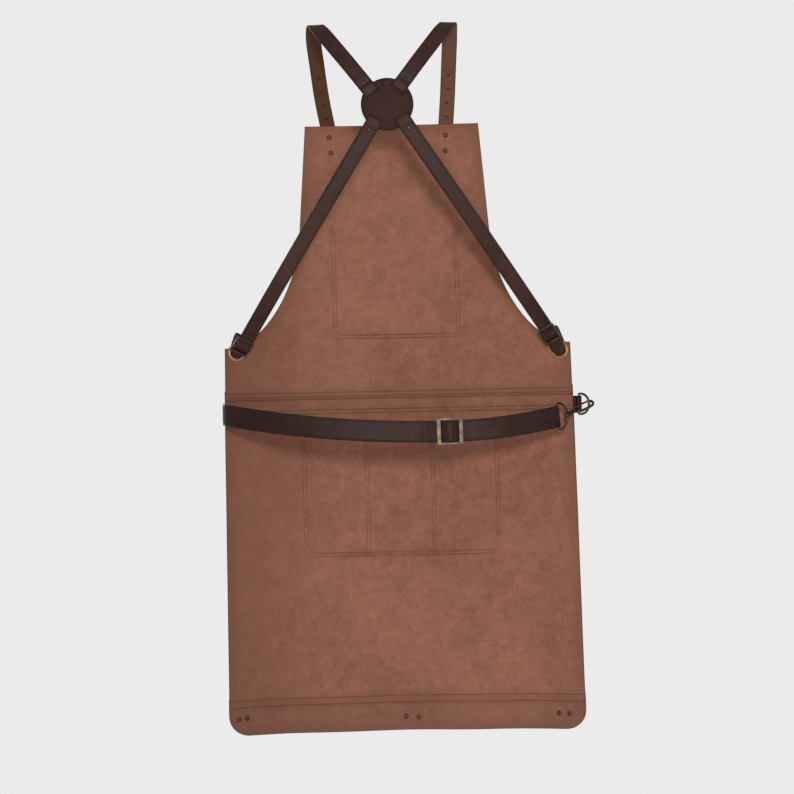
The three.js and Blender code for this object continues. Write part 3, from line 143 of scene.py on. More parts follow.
def add_piece(name, points, faces, kinds, materials, values):
    """A mesh object from points in millimetres, its faces turned outwards."""
    points = np.asarray(points, float)
    corners = points[np.array([f[:3] for f in faces])]
    if np.einsum("ij,ij->", corners[:, 0], np.cross(corners[:, 1], corners[:, 2])) < 0:
        faces = [f[::-1] for f in faces]
    mesh = bpy.data.meshes.new(name)
    mesh.from_pydata((points * 0.001).tolist(), [], faces)
    for material in materials:
        mesh.materials.append(material)
    mesh.polygons.foreach_set("material_index", kinds)
    mesh.shade_smooth()
    mesh.set_sharp_from_angle(angle=math.radians(48))
    for key, numbers in values.items():
        layer = mesh.attributes.new(key, "FLOAT", "POINT")
        layer.data.foreach_set("value", np.asarray(numbers, np.float32).ravel())
    mesh.update()
    return placed(name, mesh)


def hung_sheet(name, z, left, right, columns, offset, leather, materials, crown=0.0):
    """A wall that follows the hanging leather between two edges at each height."""
    z, left, right = (np.asarray(v, float) for v in (z, left, right))
    rows = len(z)
    share = np.linspace(0, 1, columns + 1)
    across = left[:, None] + (right - left)[:, None] * share[None, :]
    height = np.repeat(z[:, None], columns + 1, 1)
    down = np.linspace(0, 1, rows)[:, None]
    standing = offset + crown * (1 - down) * np.sin(np.pi * share)[None, :]
    near = panel_point(across, height, standing)
    far = panel_point(across, height, standing + leather)
    points = np.concatenate([near.reshape(-1, 3), far.reshape(-1, 3)])
    width, count = columns + 1, rows * (columns + 1)
    r, c = np.meshgrid(np.arange(rows - 1), np.arange(columns), indexing="ij")
    a = (r * width + c).ravel()
    near_faces = np.stack([a, a + 1, a + width + 1, a + width], -1)
    far_faces = near_faces[:, ::-1] + count
    loop = list(range(columns)) + [i * width + columns for i in range(rows - 1)]
    loop += [(rows - 1) * width + i for i in range(columns, 0, -1)]
    loop += [i * width for i in range(rows - 1, 0, -1)]
    rim = [(loop[(k + 1) % len(loop)], loop[k], loop[k] + count, loop[(k + 1) % len(loop)] + count)
           for k in range(len(loop))]
    faces = near_faces.tolist() + far_faces.tolist() + [list(f) for f in rim]
    kinds = [0] * len(near_faces) + [1] * len(far_faces) + [2] * len(rim)
    edge = np.minimum(across - left[:, None], right[:, None] - across)
    edge = np.minimum(edge, np.minimum(z[0] - height, height - z[-1]))
    values = {"edge": np.concatenate([edge.ravel()] * 2), "across": np.concatenate([across.ravel()] * 2)}
    return add_piece(name, points, faces, kinds, materials, values)


class Shader:
    """Short names for wiring a procedural material."""

    def __init__(self, name):
        self.material = bpy.data.materials.new(name)
        self.material.use_nodes = True
        self.nodes = self.material.node_tree.nodes
        self.links = self.material.node_tree.links
        self.surface = self.nodes["Principled BSDF"]
        self.where = self.nodes.new("ShaderNodeTexCoord").outputs["Object"]

    def put(self, socket, value):
        if hasattr(value, "is_output"):
            self.links.new(value, socket)
        elif isinstance(value, tuple) and len(value) == 3 and socket.type == "RGBA":
            socket.default_value = (*value, 1)
        else:
            socket.default_value = value

    def set(self, **inputs):
        for key, value in inputs.items():
            self.put(self.surface.inputs[key.replace("_", " ")], value)

    def add(self, kind, output, inputs, **settings):
        """A new node with its settings and inputs, read at one of its outputs."""
        node = self.nodes.new(kind)
        for key, value in settings.items():
            setattr(node, key, value)
        for key, value in inputs.items():
            self.put(node.inputs[key], value)
        return node.outputs[output]

    def noise(self, scale, detail=4, roughness=0.55, stretch=(1, 1, 1), distortion=0.0):
        place = self.add("ShaderNodeMapping", "Vector", {"Vector": self.where, "Scale": stretch})
        inputs = {"Vector": place, "Scale": scale, "Detail": detail, "Roughness": roughness, "Distortion": distortion}
        return self.add("ShaderNodeTexNoise", "Fac", inputs)

    def cells(self, scale):
        return self.add("ShaderNodeTexVoronoi", "Distance", {"Vector": self.where, "Scale": scale})

    def value(self, name):
        return self.add("ShaderNodeAttribute", "Fac", {}, attribute_name=name)

    def height(self):
        return self.add("ShaderNodeSeparateXYZ", "Z", {"Vector": self.where})

    def calc(self, operation, a, b=0.5):
        return self.add("ShaderNodeMath", "Value", {0: a, 1: b}, operation=operation)

    def plus(self, a, b):
        return self.calc("ADD", a, b)

    def times(self, a, b):
        return self.calc("MULTIPLY", a, b)

    def span(self, value, low, high, to_low=0.0, to_high=1.0):
        inputs = {"Value": value, "From Min": low, "From Max": high, "To Min": to_low, "To Max": to_high}
        return self.add("ShaderNodeMapRange", "Result", inputs, interpolation_type="SMOOTHSTEP")

    def line(self, value, at, half):
        """1 on a line where value equals at, falling to 0 at half to each side."""
        away = self.calc("ABSOLUTE", self.calc("SUBTRACT", value, at))
        return self.span(away, 0.0, half, 1.0, 0.0)

    def mix(self, factor, a, b):
        return self.add("ShaderNodeMix", 2, {0: factor, 6: a, 7: b}, data_type="RGBA")

    def bump(self, height, distance, strength=1.0, under=None):
        inputs = {"Height": height, "Distance": distance, "Strength": strength}
        if under is not None:
            inputs["Normal"] = under
        return self.add("ShaderNodeBump", "Normal", inputs)


def shade(colour, by):
    return tuple(min(by * v, 1) for v in colour)


def flesh_leather(name, light, dark, seams=()):
    """Rough, mottled flesh side with a short nap: darker at cut edges and in a band along the edges, with painted
    shade on its left side and in the seams' grooves.
    """
    s = Shader(name)
    broad = s.span(s.noise(5.5, 5, 0.6, (1, 1, 0.8), 0.4), 0.3, 0.72)
    patch = s.span(s.noise(48, 8, 0.72), 0.34, 0.66)
    grain = s.span(s.noise(170, 5, 0.7), 0.25, 0.75)
    nap = s.noise(900, 3, 0.6)
    tone = s.plus(s.plus(s.times(broad, 0.34), s.times(patch, 0.36)), s.times(grain, 0.3))
    colour = s.mix(tone, dark, light)
    # Painted shade darkens the leather's left side, from 70 mm left of the middle outwards.
    left_painted_shade = s.span(s.value("across"), -70.0, -290.0)
    colour = s.mix(s.times(left_painted_shade, 0.62), colour, shade(dark, 0.9))
    streak = s.span(s.noise(60, 6, 0.7, (1, 1, 7), 1.2), 0.62, 0.8)
    colour = s.mix(s.times(streak, 0.22), colour, shade(dark, 0.72))
    rub = s.span(s.noise(14, 8, 0.72, (3, 1, 1), 2.0), 0.6, 0.76)
    colour = s.mix(s.times(rub, 0.25), colour, shade(light, 1.25))
    # Darker in a mottled band within 26 mm of the edges.
    edge_band = s.span(s.value("edge"), 0.0, 26.0, 1.0, 0.0)
    colour = s.mix(s.times(edge_band, s.plus(s.times(patch, 0.3), 0.12)), colour, shade(dark, 0.6))
    cut = s.span(s.value("edge"), 0.0, 1.6, 1.0, 0.0)
    colour = s.mix(s.times(cut, 0.55), colour, shade(dark, 0.3))
    # Painted shade darkens the grooves that the seams press into the leather; the bump below sinks them.
    groove = 0.0
    for seam in seams:
        groove = s.calc("MAXIMUM", groove, s.line(s.height(), seam * 0.001, 0.0022))
    colour = s.mix(s.times(groove, 0.22), colour, shade(dark, 0.5))
    low = s.bump(s.calc("SUBTRACT", s.times(patch, 0.5), groove), 0.0009, 0.55)
    mid = s.bump(grain, 0.0005, 0.5, low)
    s.set(Base_Color=colour, Roughness=s.span(grain, 0, 1, 0.98, 0.84), Normal=s.bump(nap, 0.0002, 0.6, mid))
    s.set(Sheen_Weight=0.12, Sheen_Roughness=0.5, Sheen_Tint=(1.0, 0.82, 0.7), Specular_IOR_Level=0.12)
    return s.material


def grain_leather(name, colour, shine):
    """Smooth outer side: fine pebbles, pull-up clouds and darker cut edges."""
    s = Shader(name)
    cloud = s.span(s.noise(9, 5, 0.6, (1, 1, 1), 0.6), 0.3, 0.72)
    fine = s.span(s.noise(90, 5, 0.65), 0.3, 0.7)
    tone = s.plus(s.times(cloud, 0.6), s.times(fine, 0.3))
    tone = s.mix(tone, shade(colour, 0.55), shade(colour, 1.45))
    tone = s.mix(s.span(s.value("edge"), 0.2, 1.9, 0.9, 0.0), tone, (0.006, 0.004, 0.003))
    crease = s.line(s.value("edge"), 3.4, 0.5)
    low = s.bump(s.calc("SUBTRACT", 1.0, crease), 0.0006, 0.7, s.bump(fine, 0.0004, 0.25))
    rough = s.plus(s.span(cloud, 0, 1, shine - 0.07, shine + 0.09), s.times(fine, 0.03))
    s.set(Base_Color=tone, Roughness=rough, Normal=s.bump(s.cells(1400), 0.00012, 0.35, low))
    s.set(Specular_IOR_Level=0.14)
    return s.material


def cut_leather(name, colour):
    """Burnished cut edge."""
    s = Shader(name)
    fibre = s.noise(700, 4, 0.6)
    s.set(Base_Color=s.mix(fibre, shade(colour, 0.6), colour), Roughness=0.62)
    s.set(Normal=s.bump(fibre, 0.0002, 0.5))
    return s.material


def scoop(turn):
    """Height and half width of the bib's edge along the armhole, at a turn up to a right angle."""
    z = ARMHOLE + (CORNER - ARMHOLE) * np.sin(turn) ** (2 / 1.58)
    return z, CHEST_HALF + (WAIST_HALF - CHEST_HALF) * (1 - np.cos(turn) ** (2 / 1.9))


PANEL_TONES = ((0.36, 0.154, 0.098), (0.19, 0.077, 0.049))
INNER_TONES = ((0.3, 0.134, 0.088), (0.18, 0.073, 0.047))
BIB_SEAMS = (-600, -607)
panel_flesh = flesh_leather("bib_flesh", *PANEL_TONES, BIB_SEAMS)
panel_grain = grain_leather("panel_grain", (0.085, 0.04, 0.025), 0.5)
panel_cut = cut_leather("panel_cut", (0.07, 0.035, 0.022))
side = np.linspace(0, 1, 40)[:-1]
armhole_z, armhole_half = scoop(np.linspace(0, 1, 60) * np.pi / 2)
waist_z = CORNER + (BIB_BOTTOM - CORNER) * np.linspace(0, 1, 24)[1:]
bib_z = np.concatenate([BIB_TOP + (ARMHOLE - BIB_TOP) * side, armhole_z, waist_z])
bib_half = np.concatenate([TOP_HALF + (CHEST_HALF - TOP_HALF) * side, armhole_half, skirt_half(waist_z)])
bib = hung_sheet("bib_leather", bib_z, -bib_half, bib_half, 110, 0, LEATHER,
                 [panel_flesh, panel_grain, panel_cut])
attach(bib, "apron")
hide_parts("bib_panel")

# Skirt: the same leather, lapped 16 mm behind the bib's lower edge and sewn there, with a soft
# ripple that grows towards the hem.
SKIRT_OFFSET = LEATHER + LAY
SKIRT_SEAMS = (-629, -635)
HEM_SEAM = -1106
skirt_flesh = flesh_leather("skirt_flesh", *PANEL_TONES, (*SKIRT_SEAMS, HEM_SEAM))
skirt_z = np.linspace(-595, -1117, 120)
skirt = hung_sheet("skirt_leather", skirt_z, -skirt_half(skirt_z), skirt_half(skirt_z), 120, SKIRT_OFFSET,
                   LEATHER, [skirt_flesh, panel_grain, panel_cut])
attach(skirt, "apron")
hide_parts("skirt_panel")

# Hem band: a strip sewn on behind the skirt's lower edge, with round lower corners.
HEM_OFFSET = SKIRT_OFFSET + LEATHER + LAY
HEM_TOP = -1103.1
hem_flesh = flesh_leather("hem_flesh", *INNER_TONES)
corner_turn = np.radians(np.linspace(0, 90, 14))
hem_z = np.concatenate([np.linspace(HEM_TOP, HEM + HEM_CORNER, 12)[:-1],
                        HEM + HEM_CORNER * (1 - np.sin(corner_turn))])
hem = hung_sheet("hem_leather", hem_z, -skirt_half(hem_z), skirt_half(hem_z), 120, HEM_OFFSET, LEATHER,
                 [hem_flesh, panel_grain, panel_cut])
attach(hem, "apron")
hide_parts("hem_band")

# Pockets: leather patches on the front with the grain side out, open at the top, where they
# stand off the panel a little.
POCKET = 1.8
CROWN = 2.0
BIB_POCKET = (-322, 218, 192, 7)
TOOL_POCKET = (-681, 332, 196, 18)


def pocket_rows(top, width, height, corner):
    bend = np.radians(np.linspace(0, 90, 10))
    straight = np.linspace(top, top - height + corner, 34)[:-1]
    z = np.concatenate([straight, top - height + corner * (1 - np.sin(bend))])
    inset = np.concatenate([np.zeros(33), corner * (1 - np.cos(bend))])
    return z, -width / 2 + inset, width / 2 - inset


pocket_flesh = flesh_leather("pocket_flesh", *INNER_TONES)
bib_pocket = hung_sheet("bib_pocket_leather", *pocket_rows(*BIB_POCKET), 50, LEATHER + LAY, POCKET,
                        [pocket_flesh, panel_grain, panel_cut], CROWN)
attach(bib_pocket, "apron")
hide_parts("bib_pocket")

tool_pocket = hung_sheet("tool_pocket_leather", *pocket_rows(*TOOL_POCKET), 70, HEM_OFFSET, POCKET,
                         [pocket_flesh, panel_grain, panel_cut], CROWN)
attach(tool_pocket, "apron")
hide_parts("tool_pocket")

# Stitches: dark waxed thread in short even stitches, on both sides of the leather. They are made
# by one node group that lays stitches along rows.
stitching = bpy.data.node_groups.new("Stitching", "GeometryNodeTree")
stitching.interface.new_socket("Geometry", in_out="INPUT", socket_type="NodeSocketGeometry")
for label in ("Pitch", "Length", "Thickness", "Unevenness"):
    stitching.interface.new_socket(label, in_out="INPUT", socket_type="NodeSocketFloat")
stitching.interface.new_socket("Thread", in_out="INPUT", socket_type="NodeSocketMaterial")
stitching.interface.new_socket("Geometry", in_out="OUTPUT", socket_type="NodeSocketGeometry")


def stitch_node(kind, inputs=(), **settings):
    node = stitching.nodes.new(kind)
    for key, value in settings.items():
        setattr(node, key, value)
    for key, value in inputs:
        node.inputs[key].default_value = value
    return node


given = stitch_node("NodeGroupInput")
rows_line = stitch_node("GeometryNodeMeshToCurve")
spaced = stitch_node("GeometryNodeResampleCurve", mode="LENGTH")
way = stitch_node("GeometryNodeInputTangent")
turned = stitch_node("FunctionNodeAlignRotationToVector", axis="X")
wobble = stitch_node("FunctionNodeRandomValue", data_type="FLOAT_VECTOR")
wobble.inputs["Seed"].default_value = 11
low_end = stitch_node("ShaderNodeVectorMath", [(0, (-1, -1, -1))], operation="SCALE")
high_end = stitch_node("ShaderNodeVectorMath", [(0, (1, 1, 1))], operation="SCALE")
uneven = stitch_node("FunctionNodeEulerToRotation")
both = stitch_node("FunctionNodeRotateRotation")
bead = stitch_node("GeometryNodeMeshUVSphere", [("Segments", 6), ("Rings", 5), ("Radius", 0.5)])
form = stitch_node("ShaderNodeCombineXYZ")
laid = stitch_node("GeometryNodeInstanceOnPoints")
real = stitch_node("GeometryNodeRealizeInstances")
thread_on = stitch_node("GeometryNodeSetMaterial")
result = stitch_node("NodeGroupOutput")
for node, output, onto, into in (
    (given, "Geometry", rows_line, "Mesh"),
    (rows_line, "Curve", spaced, "Curve"),
    (given, "Pitch", spaced, "Length"),
    (way, "Tangent", turned, "Vector"),
    (given, "Unevenness", low_end, "Scale"),
    (given, "Unevenness", high_end, "Scale"),
    (low_end, "Vector", wobble, "Min"),
    (high_end, "Vector", wobble, "Max"),
    (wobble, "Value", uneven, "Euler"),
    (turned, "Rotation", both, "Rotation"),
    (uneven, "Rotation", both, "Rotate By"),
    (given, "Length", form, "X"),
    (given, "Thickness", form, "Y"),
    (given, "Thickness", form, "Z"),
    (spaced, "Curve", laid, "Points"),
    (bead, "Mesh", laid, "Instance"),
    (both, "Rotation", laid, "Rotation"),
    (form, "Vector", laid, "Scale"),
    (laid, "Instances", real, "Geometry"),
    (real, "Geometry", thread_on, "Geometry"),
    (given, "Thread", thread_on, "Material"),
    (thread_on, "Geometry", result, "Geometry"),
):
    stitching.links.new(node.outputs[output], onto.inputs[into])

thread_shader = Shader("waxed_thread")
thread_tone = thread_shader.mix(thread_shader.noise(800, 2), (0.05, 0.023, 0.015), (0.1, 0.047, 0.032))
thread_shader.set(Base_Color=thread_tone, Roughness=0.6)


def modified(piece, *steps):
    """Applies modifiers, each a kind and its settings, and keeps the mesh that comes out."""
    for kind, settings in steps:
        modifier = piece.modifiers.new(kind, kind)
        for key, value in settings.items():
            setattr(modifier, key, value)
    bpy.context.view_layer.update()
    made = bpy.data.meshes.new_from_object(piece.evaluated_get(bpy.context.evaluated_depsgraph_get()))
    piece.modifiers.clear()
    piece.data = made
    return made


def stitch(name, rows, pitch, length, thickness):
    """Lays stitches along rows of points in millimetres, as one joined mesh."""
    points, edges = [], []
    for row in rows:
        start = len(points)
        points += [tuple(p) for p in np.asarray(row) * 0.001]
        edges += [(start + i, start + i + 1) for i in range(len(row) - 1)]
    mesh = bpy.data.meshes.new(name)
    mesh.from_pydata(points, edges, [])
    piece = placed(name, mesh)
    modifier = piece.modifiers.new("Stitching", "NODES")
    modifier.node_group = stitching
    wanted = {"Pitch": pitch * 0.001, "Length": length * 0.001, "Thickness": thickness * 0.001,
              "Unevenness": 0.06, "Thread": thread_shader.material}
    for item in stitching.interface.items_tree:
        if item.in_out == "INPUT" and item.name in wanted:
            modifier[item.identifier] = wanted[item.name]
    modified(piece).shade_smooth()
    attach(piece, "apron")


def level_row(z, offset):
    half = float(skirt_half(z)) - 6
    return panel_point(np.linspace(-half, half, 90), z, offset)


def patch_line(top, low, half, corner):
    """Down one side of a patch, round its corner, along the bottom and up the other side."""
    bend = np.radians(np.linspace(0, 90, 8))
    right_x = np.concatenate([np.full(30, half), half - corner * (1 - np.cos(bend))])
    right_z = np.concatenate([np.linspace(top, low + corner, 30), low + corner * (1 - np.sin(bend))])
    return np.concatenate([right_x, -right_x[::-1]]), np.concatenate([right_z, right_z[::-1]])


def pocket_lift(pocket, across, z):
    """How far a pocket stands off the panel, most at the middle of its open top."""
    top, width, height, _ = pocket
    down = np.clip((top - z) / height, 0, 1)
    return CROWN * (1 - down) * np.sin(np.pi * np.clip(across / width + 0.5, 0, 1))


STAND = 0.15
FAR_SKIRT = SKIRT_OFFSET + LEATHER
seam_rows = []
for height in BIB_SEAMS:
    seam_rows += [level_row(height, -STAND), level_row(height, FAR_SKIRT + STAND)]
for height in SKIRT_SEAMS:
    seam_rows += [level_row(height, SKIRT_OFFSET - STAND), level_row(height, FAR_SKIRT + STAND)]
seam_rows += [level_row(HEM_SEAM, SKIRT_OFFSET - STAND), level_row(HEM_SEAM, HEM_OFFSET + LEATHER + STAND)]
stitch("seam_stitches", seam_rows, 3.8, 3.0, 0.8)

DIVIDERS = (-56, 53)
BIB_FACE, TOOL_FACE = LEATHER + LAY + POCKET + STAND, HEM_OFFSET + POCKET + STAND
pocket_stitch_rows = []
for inward in (0, 5.5):
    for pocket, top, low, half, corner, panel, face in (
        (BIB_POCKET, -323, -511, 105, 5, 0, BIB_FACE),
        (TOOL_POCKET, -683, -872, 162, 15, SKIRT_OFFSET, TOOL_FACE),
    ):
        x, z = patch_line(top, low + inward, half - inward, corner)
        pocket_stitch_rows += [panel_point(x, z, panel - STAND), panel_point(x, z, face + pocket_lift(pocket, x, z))]
for divider in DIVIDERS:
    for beside in (-2.6, 2.6):
        x, z = divider + beside, np.linspace(-683, -872, 40)
        pocket_stitch_rows += [panel_point(x, z, SKIRT_OFFSET - STAND),
                               panel_point(x, z, TOOL_FACE + pocket_lift(TOOL_POCKET, x, z))]
for middles, top, panel in (((-105, 105), -323, 0), ((-162, 162, *DIVIDERS), -683, SKIRT_OFFSET)):
    for middle in middles:
        for beside in (-5.5, -2, 2, 5.5):
            z = np.linspace(top + 2, top - 13, 6)
            pocket_stitch_rows.append(panel_point(middle + beside, z, panel - STAND))
stitch("pocket_stitches", pocket_stitch_rows, 3.4, 2.8, 0.75)

# Shoulder straps: 25 mm waxed straps, grain side out. Each is riveted to the bib's front, runs
# over the shoulder, and goes through a slit of the back disc. Their front parts show the flesh
# side and a row of holes.
STRAP = 25.0
THICK = 2.2
GAP = 0.35
CLEAR = 0.5
DISC = np.array([-6.0, -75.0, -138.0])
DISC_RADIUS = 42.5
SLIT_OUT = 30.0
SLITS = {"shoulder_left": (142, 128), "shoulder_right": (55, 52), "cross_left": (231, 238), "cross_right": (318, 302)}
FIRST_HOLE, HOLE_PITCH = 14, 23
EAST, UP, BACK = np.array([1.0, 0, 0]), np.array([0, 0, 1.0]), np.array([0, 1.0, 0])


def unit(v):
    return v / np.linalg.norm(v)


def square(across, along):
    return unit(across - along * (across @ along) / (along @ along))


def heading(degrees):
    return np.array([math.cos(math.radians(degrees)), 0, math.sin(math.radians(degrees))])


def reaches(line):
    """How far along a line each of its points lies."""
    return np.concatenate([[0], np.cumsum(np.linalg.norm(np.diff(line, axis=0), axis=1))])


def through(points, share):
    """A place at a share of a smooth curve through points, counted by points."""
    points = np.asarray(points, float)
    at = share * (len(points) - 1)
    i = min(int(at), len(points) - 2)
    t = at - i
    p1, p2 = points[i], points[i + 1]
    p0 = points[i - 1] if i > 0 else 2 * p1 - p2
    p3 = points[i + 2] if i + 2 < len(points) else 2 * p2 - p1
    d0, d1, d2 = (max(np.linalg.norm(b - a), 1e-6) ** 0.5 for a, b in ((p0, p1), (p1, p2), (p2, p3)))
    m1 = ((p1 - p0) / d0 - (p2 - p0) / (d0 + d1) + (p2 - p1) / d1) * d1
    m2 = ((p2 - p1) / d1 - (p3 - p1) / (d1 + d2) + (p3 - p2) / d2) * d1
    return p1 + m1 * t + (3 * (p2 - p1) - 2 * m1 - m2) * t * t + (2 * (p1 - p2) + m1 + m2) * t**3


def band_mesh(name, stations, width, leather, materials, soften=0.55):
    """A strap along stations (place, across, share of width), with softened edges, made finer
    along its length by a smooth curve through the stations."""
    places = np.array([s[0] for s in stations])
    acrosses = np.array([unit(s[1]) for s in stations])
    narrows = np.array([s[2] if len(s) > 2 else 1.0 for s in stations])
    steps = []
    for i in range(len(places) - 1):
        pieces = max(1, min(10, int(np.linalg.norm(places[i + 1] - places[i]) / 2.4)))
        steps += [(i, k / pieces) for k in range(pieces)]
    steps.append((len(places) - 2, 1.0))
    line = np.array([through(places, (i + t) / (len(places) - 1)) for i, t in steps])
    across = np.array([unit(acrosses[i] * (1 - t) + acrosses[i + 1] * t) for i, t in steps])
    narrow = np.array([narrows[i] * (1 - t) + narrows[i + 1] * t for i, t in steps])
    along = np.gradient(line, axis=0)
    w, h, b = width / 2, leather / 2, soften
    inner = w - 4.2
    section = [(-w + b, -h), (-inner, -h), (0, -h), (inner, -h), (w - b, -h), (w, -h + b), (w, h - b),
               (w - b, h), (inner, h), (0, h), (-inner, h), (-w + b, h), (-w, h - b), (-w, -h + b)]
    flesh_sides = (0, 1, 2, 3)
    grain_sides = (7, 8, 9, 10)
    points, edges = [], []
    reach = reaches(line)
    for k in range(len(line)):
        lie = square(across[k], along[k])
        up = unit(np.cross(along[k], lie))
        for u, v in section:
            cup = 11 * (1 - narrow[k]) * (1 - (u / w) ** 2)
            points.append(line[k] + lie * u * narrow[k] + up * (v + cup))
            edges.append(min(w - abs(u), reach[k], reach[-1] - reach[k]))
    n = len(section)
    faces, kinds = [], []
    for k in range(len(line) - 1):
        for j in range(n):
            l = (j + 1) % n
            faces.append([k * n + j, k * n + l, (k + 1) * n + l, (k + 1) * n + j])
            kinds.append(1 if j in flesh_sides else 0 if j in grain_sides else 2)
    last = (len(line) - 1) * n
    faces += [list(range(n))[::-1], [last + j for j in range(n)]]
    kinds += [2, 2]
    return add_piece(name, points, faces, kinds, materials, {"edge": edges}), float(reach[-1])


def disc_end(slit, run):
    """Rows of a strap's end at the disc, from its tail behind to the run outwards. The turn
    follows the CAD's slit, which is 4.4 mm wide."""
    centre, along = DISC + heading(slit) * SLIT_OUT, heading(run)
    rim = DISC_RADIUS - SLIT_OUT * math.cos(math.radians(slit - run))
    over = 1.5 + GAP + THICK / 2
    pinch = GAP / 2 + THICK / 2 + 0.1
    rivet = rim + 8
    turn_at = over + THICK / 2 + GAP - 4.4 / 2
    behind = [(rivet + 7, pinch), (rivet, pinch), (rivet - 4.4, pinch), (rim + 0.9, over), (turn_at, over)]
    arc = [(turn_at - over * math.sin(a), over * math.cos(a)) for a in np.radians((30, 60, 90, 120, 150))]
    rows = behind + arc + [(out, -off) for out, off in behind[::-1]]
    return [centre + along * out + BACK * off for out, off in rows], heading(run + 90)


def punch_holes(piece, places, axes, radius, name):
    """Cuts round holes through a piece with one joined cutter."""
    tool = bmesh.new()
    for place, axis in zip(places, axes):
        turned_to = Vector(axis).to_track_quat("Z", "Y").to_matrix().to_4x4()
        matrix = Matrix.Translation(Vector(place) * 0.001) @ turned_to
        bmesh.ops.create_cone(tool, cap_ends=True, segments=20, radius1=radius * 0.001, radius2=radius * 0.001,
                              depth=0.008, matrix=matrix)
    mesh = bpy.data.meshes.new(name)
    tool.to_mesh(mesh)
    tool.free()
    cutter = placed(name, mesh)
    modified(piece, ("BOOLEAN", dict(operation="DIFFERENCE", solver="EXACT", object=cutter)))
    bpy.data.objects.remove(cutter)


strap_grain = grain_leather("strap_grain", (0.05, 0.021, 0.016), 0.5)
strap_flesh = flesh_leather("strap_flesh", (0.17, 0.075, 0.043), (0.09, 0.038, 0.022))
strap_cut = cut_leather("strap_cut", (0.012, 0.007, 0.005))
# The front parts' flesh is one leather in two copies: painted shade makes the left copy darker.
front_flesh = {"left": flesh_leather("front_flesh_left_painted_shade", (0.125, 0.055, 0.028), (0.06, 0.027, 0.014)),
               "right": flesh_leather("front_flesh_right", (0.22, 0.1, 0.066), (0.12, 0.052, 0.034))}

for name, side_of, crest, bib_x, foot_x in (("left", -1, 122.5, 106.0, 100.5), ("right", 1, 97.9, 90.7, 88.6)):
    run = SLITS[f"shoulder_{name}"][1]
    ends, _ = disc_end(*SLITS[f"shoulder_{name}"])
    final = run - 90
    route = []
    for down in (1, 0.78, 0.55, 0.33, 0.02):
        z = BIB_TOP - 57 * down
        across = side_of * (bib_x + (foot_x - bib_x) * down) - LEAN * (BIB_TOP - z) / LENGTH
        place = panel_point(across, z, LEATHER + LAY + THICK / 2)
        route.append((place, square(EAST, panel_normal(across, z))))
    foot = len(route)
    for out, drop, deep in ((0.54, 0.7, 0.96), (0.96, 0.35, 0.8), (1.2, 0.1, 0.45)):
        x = side_of * (bib_x + (crest - bib_x) * out)
        route.append((np.array([x, CHEST_DEPTH * deep, BIB_TOP * drop]), EAST))
    end = ends[-1]
    to_disc = ((1, 0, 0, 0), (0.86, 0.13, 0.44, 0.35), (0.63, 0.37, 0.71, 0.8), (0.3, 0.7, 0.92, 1))
    for out, drop, deep, twist in to_disc:
        x = end[0] + (side_of * crest - end[0]) * out
        place = np.array([x, DISC[1] * deep, end[2] * drop + THICK / 2 * (1 - drop)])
        route.append((place, heading(final * twist)))
    route.append((end, heading(final)))
    free = route[foot - 1:]
    places = [s[0] for s in free]
    smooth = []
    for i in range(31):
        at = i / 30 * (len(free) - 1)
        low = min(int(at), len(free) - 2)
        across = free[low][1] * (1 - at + low) + free[low + 1][1] * (at - low)
        here, ahead = through(places, i / 30), through(places, min(i / 30 + 0.004, 1))
        behind = through(places, max(i / 30 - 0.004, 0))
        smooth.append((here, square(across, ahead - behind)))
    stations = route[:foot - 1] + smooth + [(p, heading(final)) for p in ends[:-1][::-1]]
    strap, reach = band_mesh(f"shoulder_strap_leather_{name}", stations, STRAP, THICK,
                             [strap_grain, front_flesh[name], strap_cut])
    run_points = np.array([s[0] for s in smooth])
    run_reach = reaches(run_points)
    hole_places, hole_axes = [], []
    for i in range(4):
        hole_at = FIRST_HOLE + HOLE_PITCH * i
        spot = [float(np.interp(hole_at, run_reach, run_points[:, k])) for k in range(3)]
        next_spot = [float(np.interp(hole_at + 2, run_reach, run_points[:, k])) for k in range(3)]
        axis = unit(np.cross(np.array(next_spot) - spot, EAST))
        axis = axis if axis[1] < 0 else -axis
        hole_places.append(spot + axis * (THICK / 2 + 2.8))
        hole_axes.append(axis)
    punch_holes(strap, hole_places, hole_axes, 1.7, f"strap_holes_{name}")
    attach(strap, "apron")
    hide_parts(f"shoulder_strap_{name}")

# Back disc: an 85 mm round of thick leather with four slits, its edge softened and its face a
# little browner than the straps.
disc_grain = grain_leather("disc_grain", (0.042, 0.0135, 0.0074), 0.6)
bpy.ops.mesh.primitive_cylinder_add(vertices=120, radius=0.0425, depth=0.003, location=tuple(DISC * 0.001),
                                    rotation=(math.pi / 2, 0, 0))
disc = bpy.context.object
disc.name = "back_disc_leather"
bpy.ops.object.transform_apply(location=True, rotation=True, scale=True)
disc.data.materials.append(disc_grain)
cutters = []
for slit, run in SLITS.values():
    centre = DISC + heading(slit) * SLIT_OUT - heading(run) * 0.55
    bpy.ops.mesh.primitive_cube_add(size=1, location=tuple(centre * 0.001), rotation=(0, -math.radians(run), 0),
                                    scale=(0.0021, 0.02, 0.0251))
    cutters.append(bpy.context.object)
slit_cuts = [("BOOLEAN", dict(operation="DIFFERENCE", solver="EXACT", object=cutter)) for cutter in cutters]
soft_edge = ("BEVEL", dict(width=0.0006, segments=3, limit_method="ANGLE", angle_limit=math.radians(50)))
made = modified(disc, *slit_cuts, soft_edge)
for cutter in cutters:
    bpy.data.objects.remove(cutter)
made.shade_smooth()
made.set_sharp_from_angle(angle=math.radians(35))
to_rim = [DISC_RADIUS - 1000 * math.hypot(v.co.x + 0.006, v.co.z + 0.138) for v in made.vertices]
made.attributes.new("edge", "FLOAT", "POINT").data.foreach_set("value", np.array(to_rim, np.float32))
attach(disc, "apron")
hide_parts("back_disc")

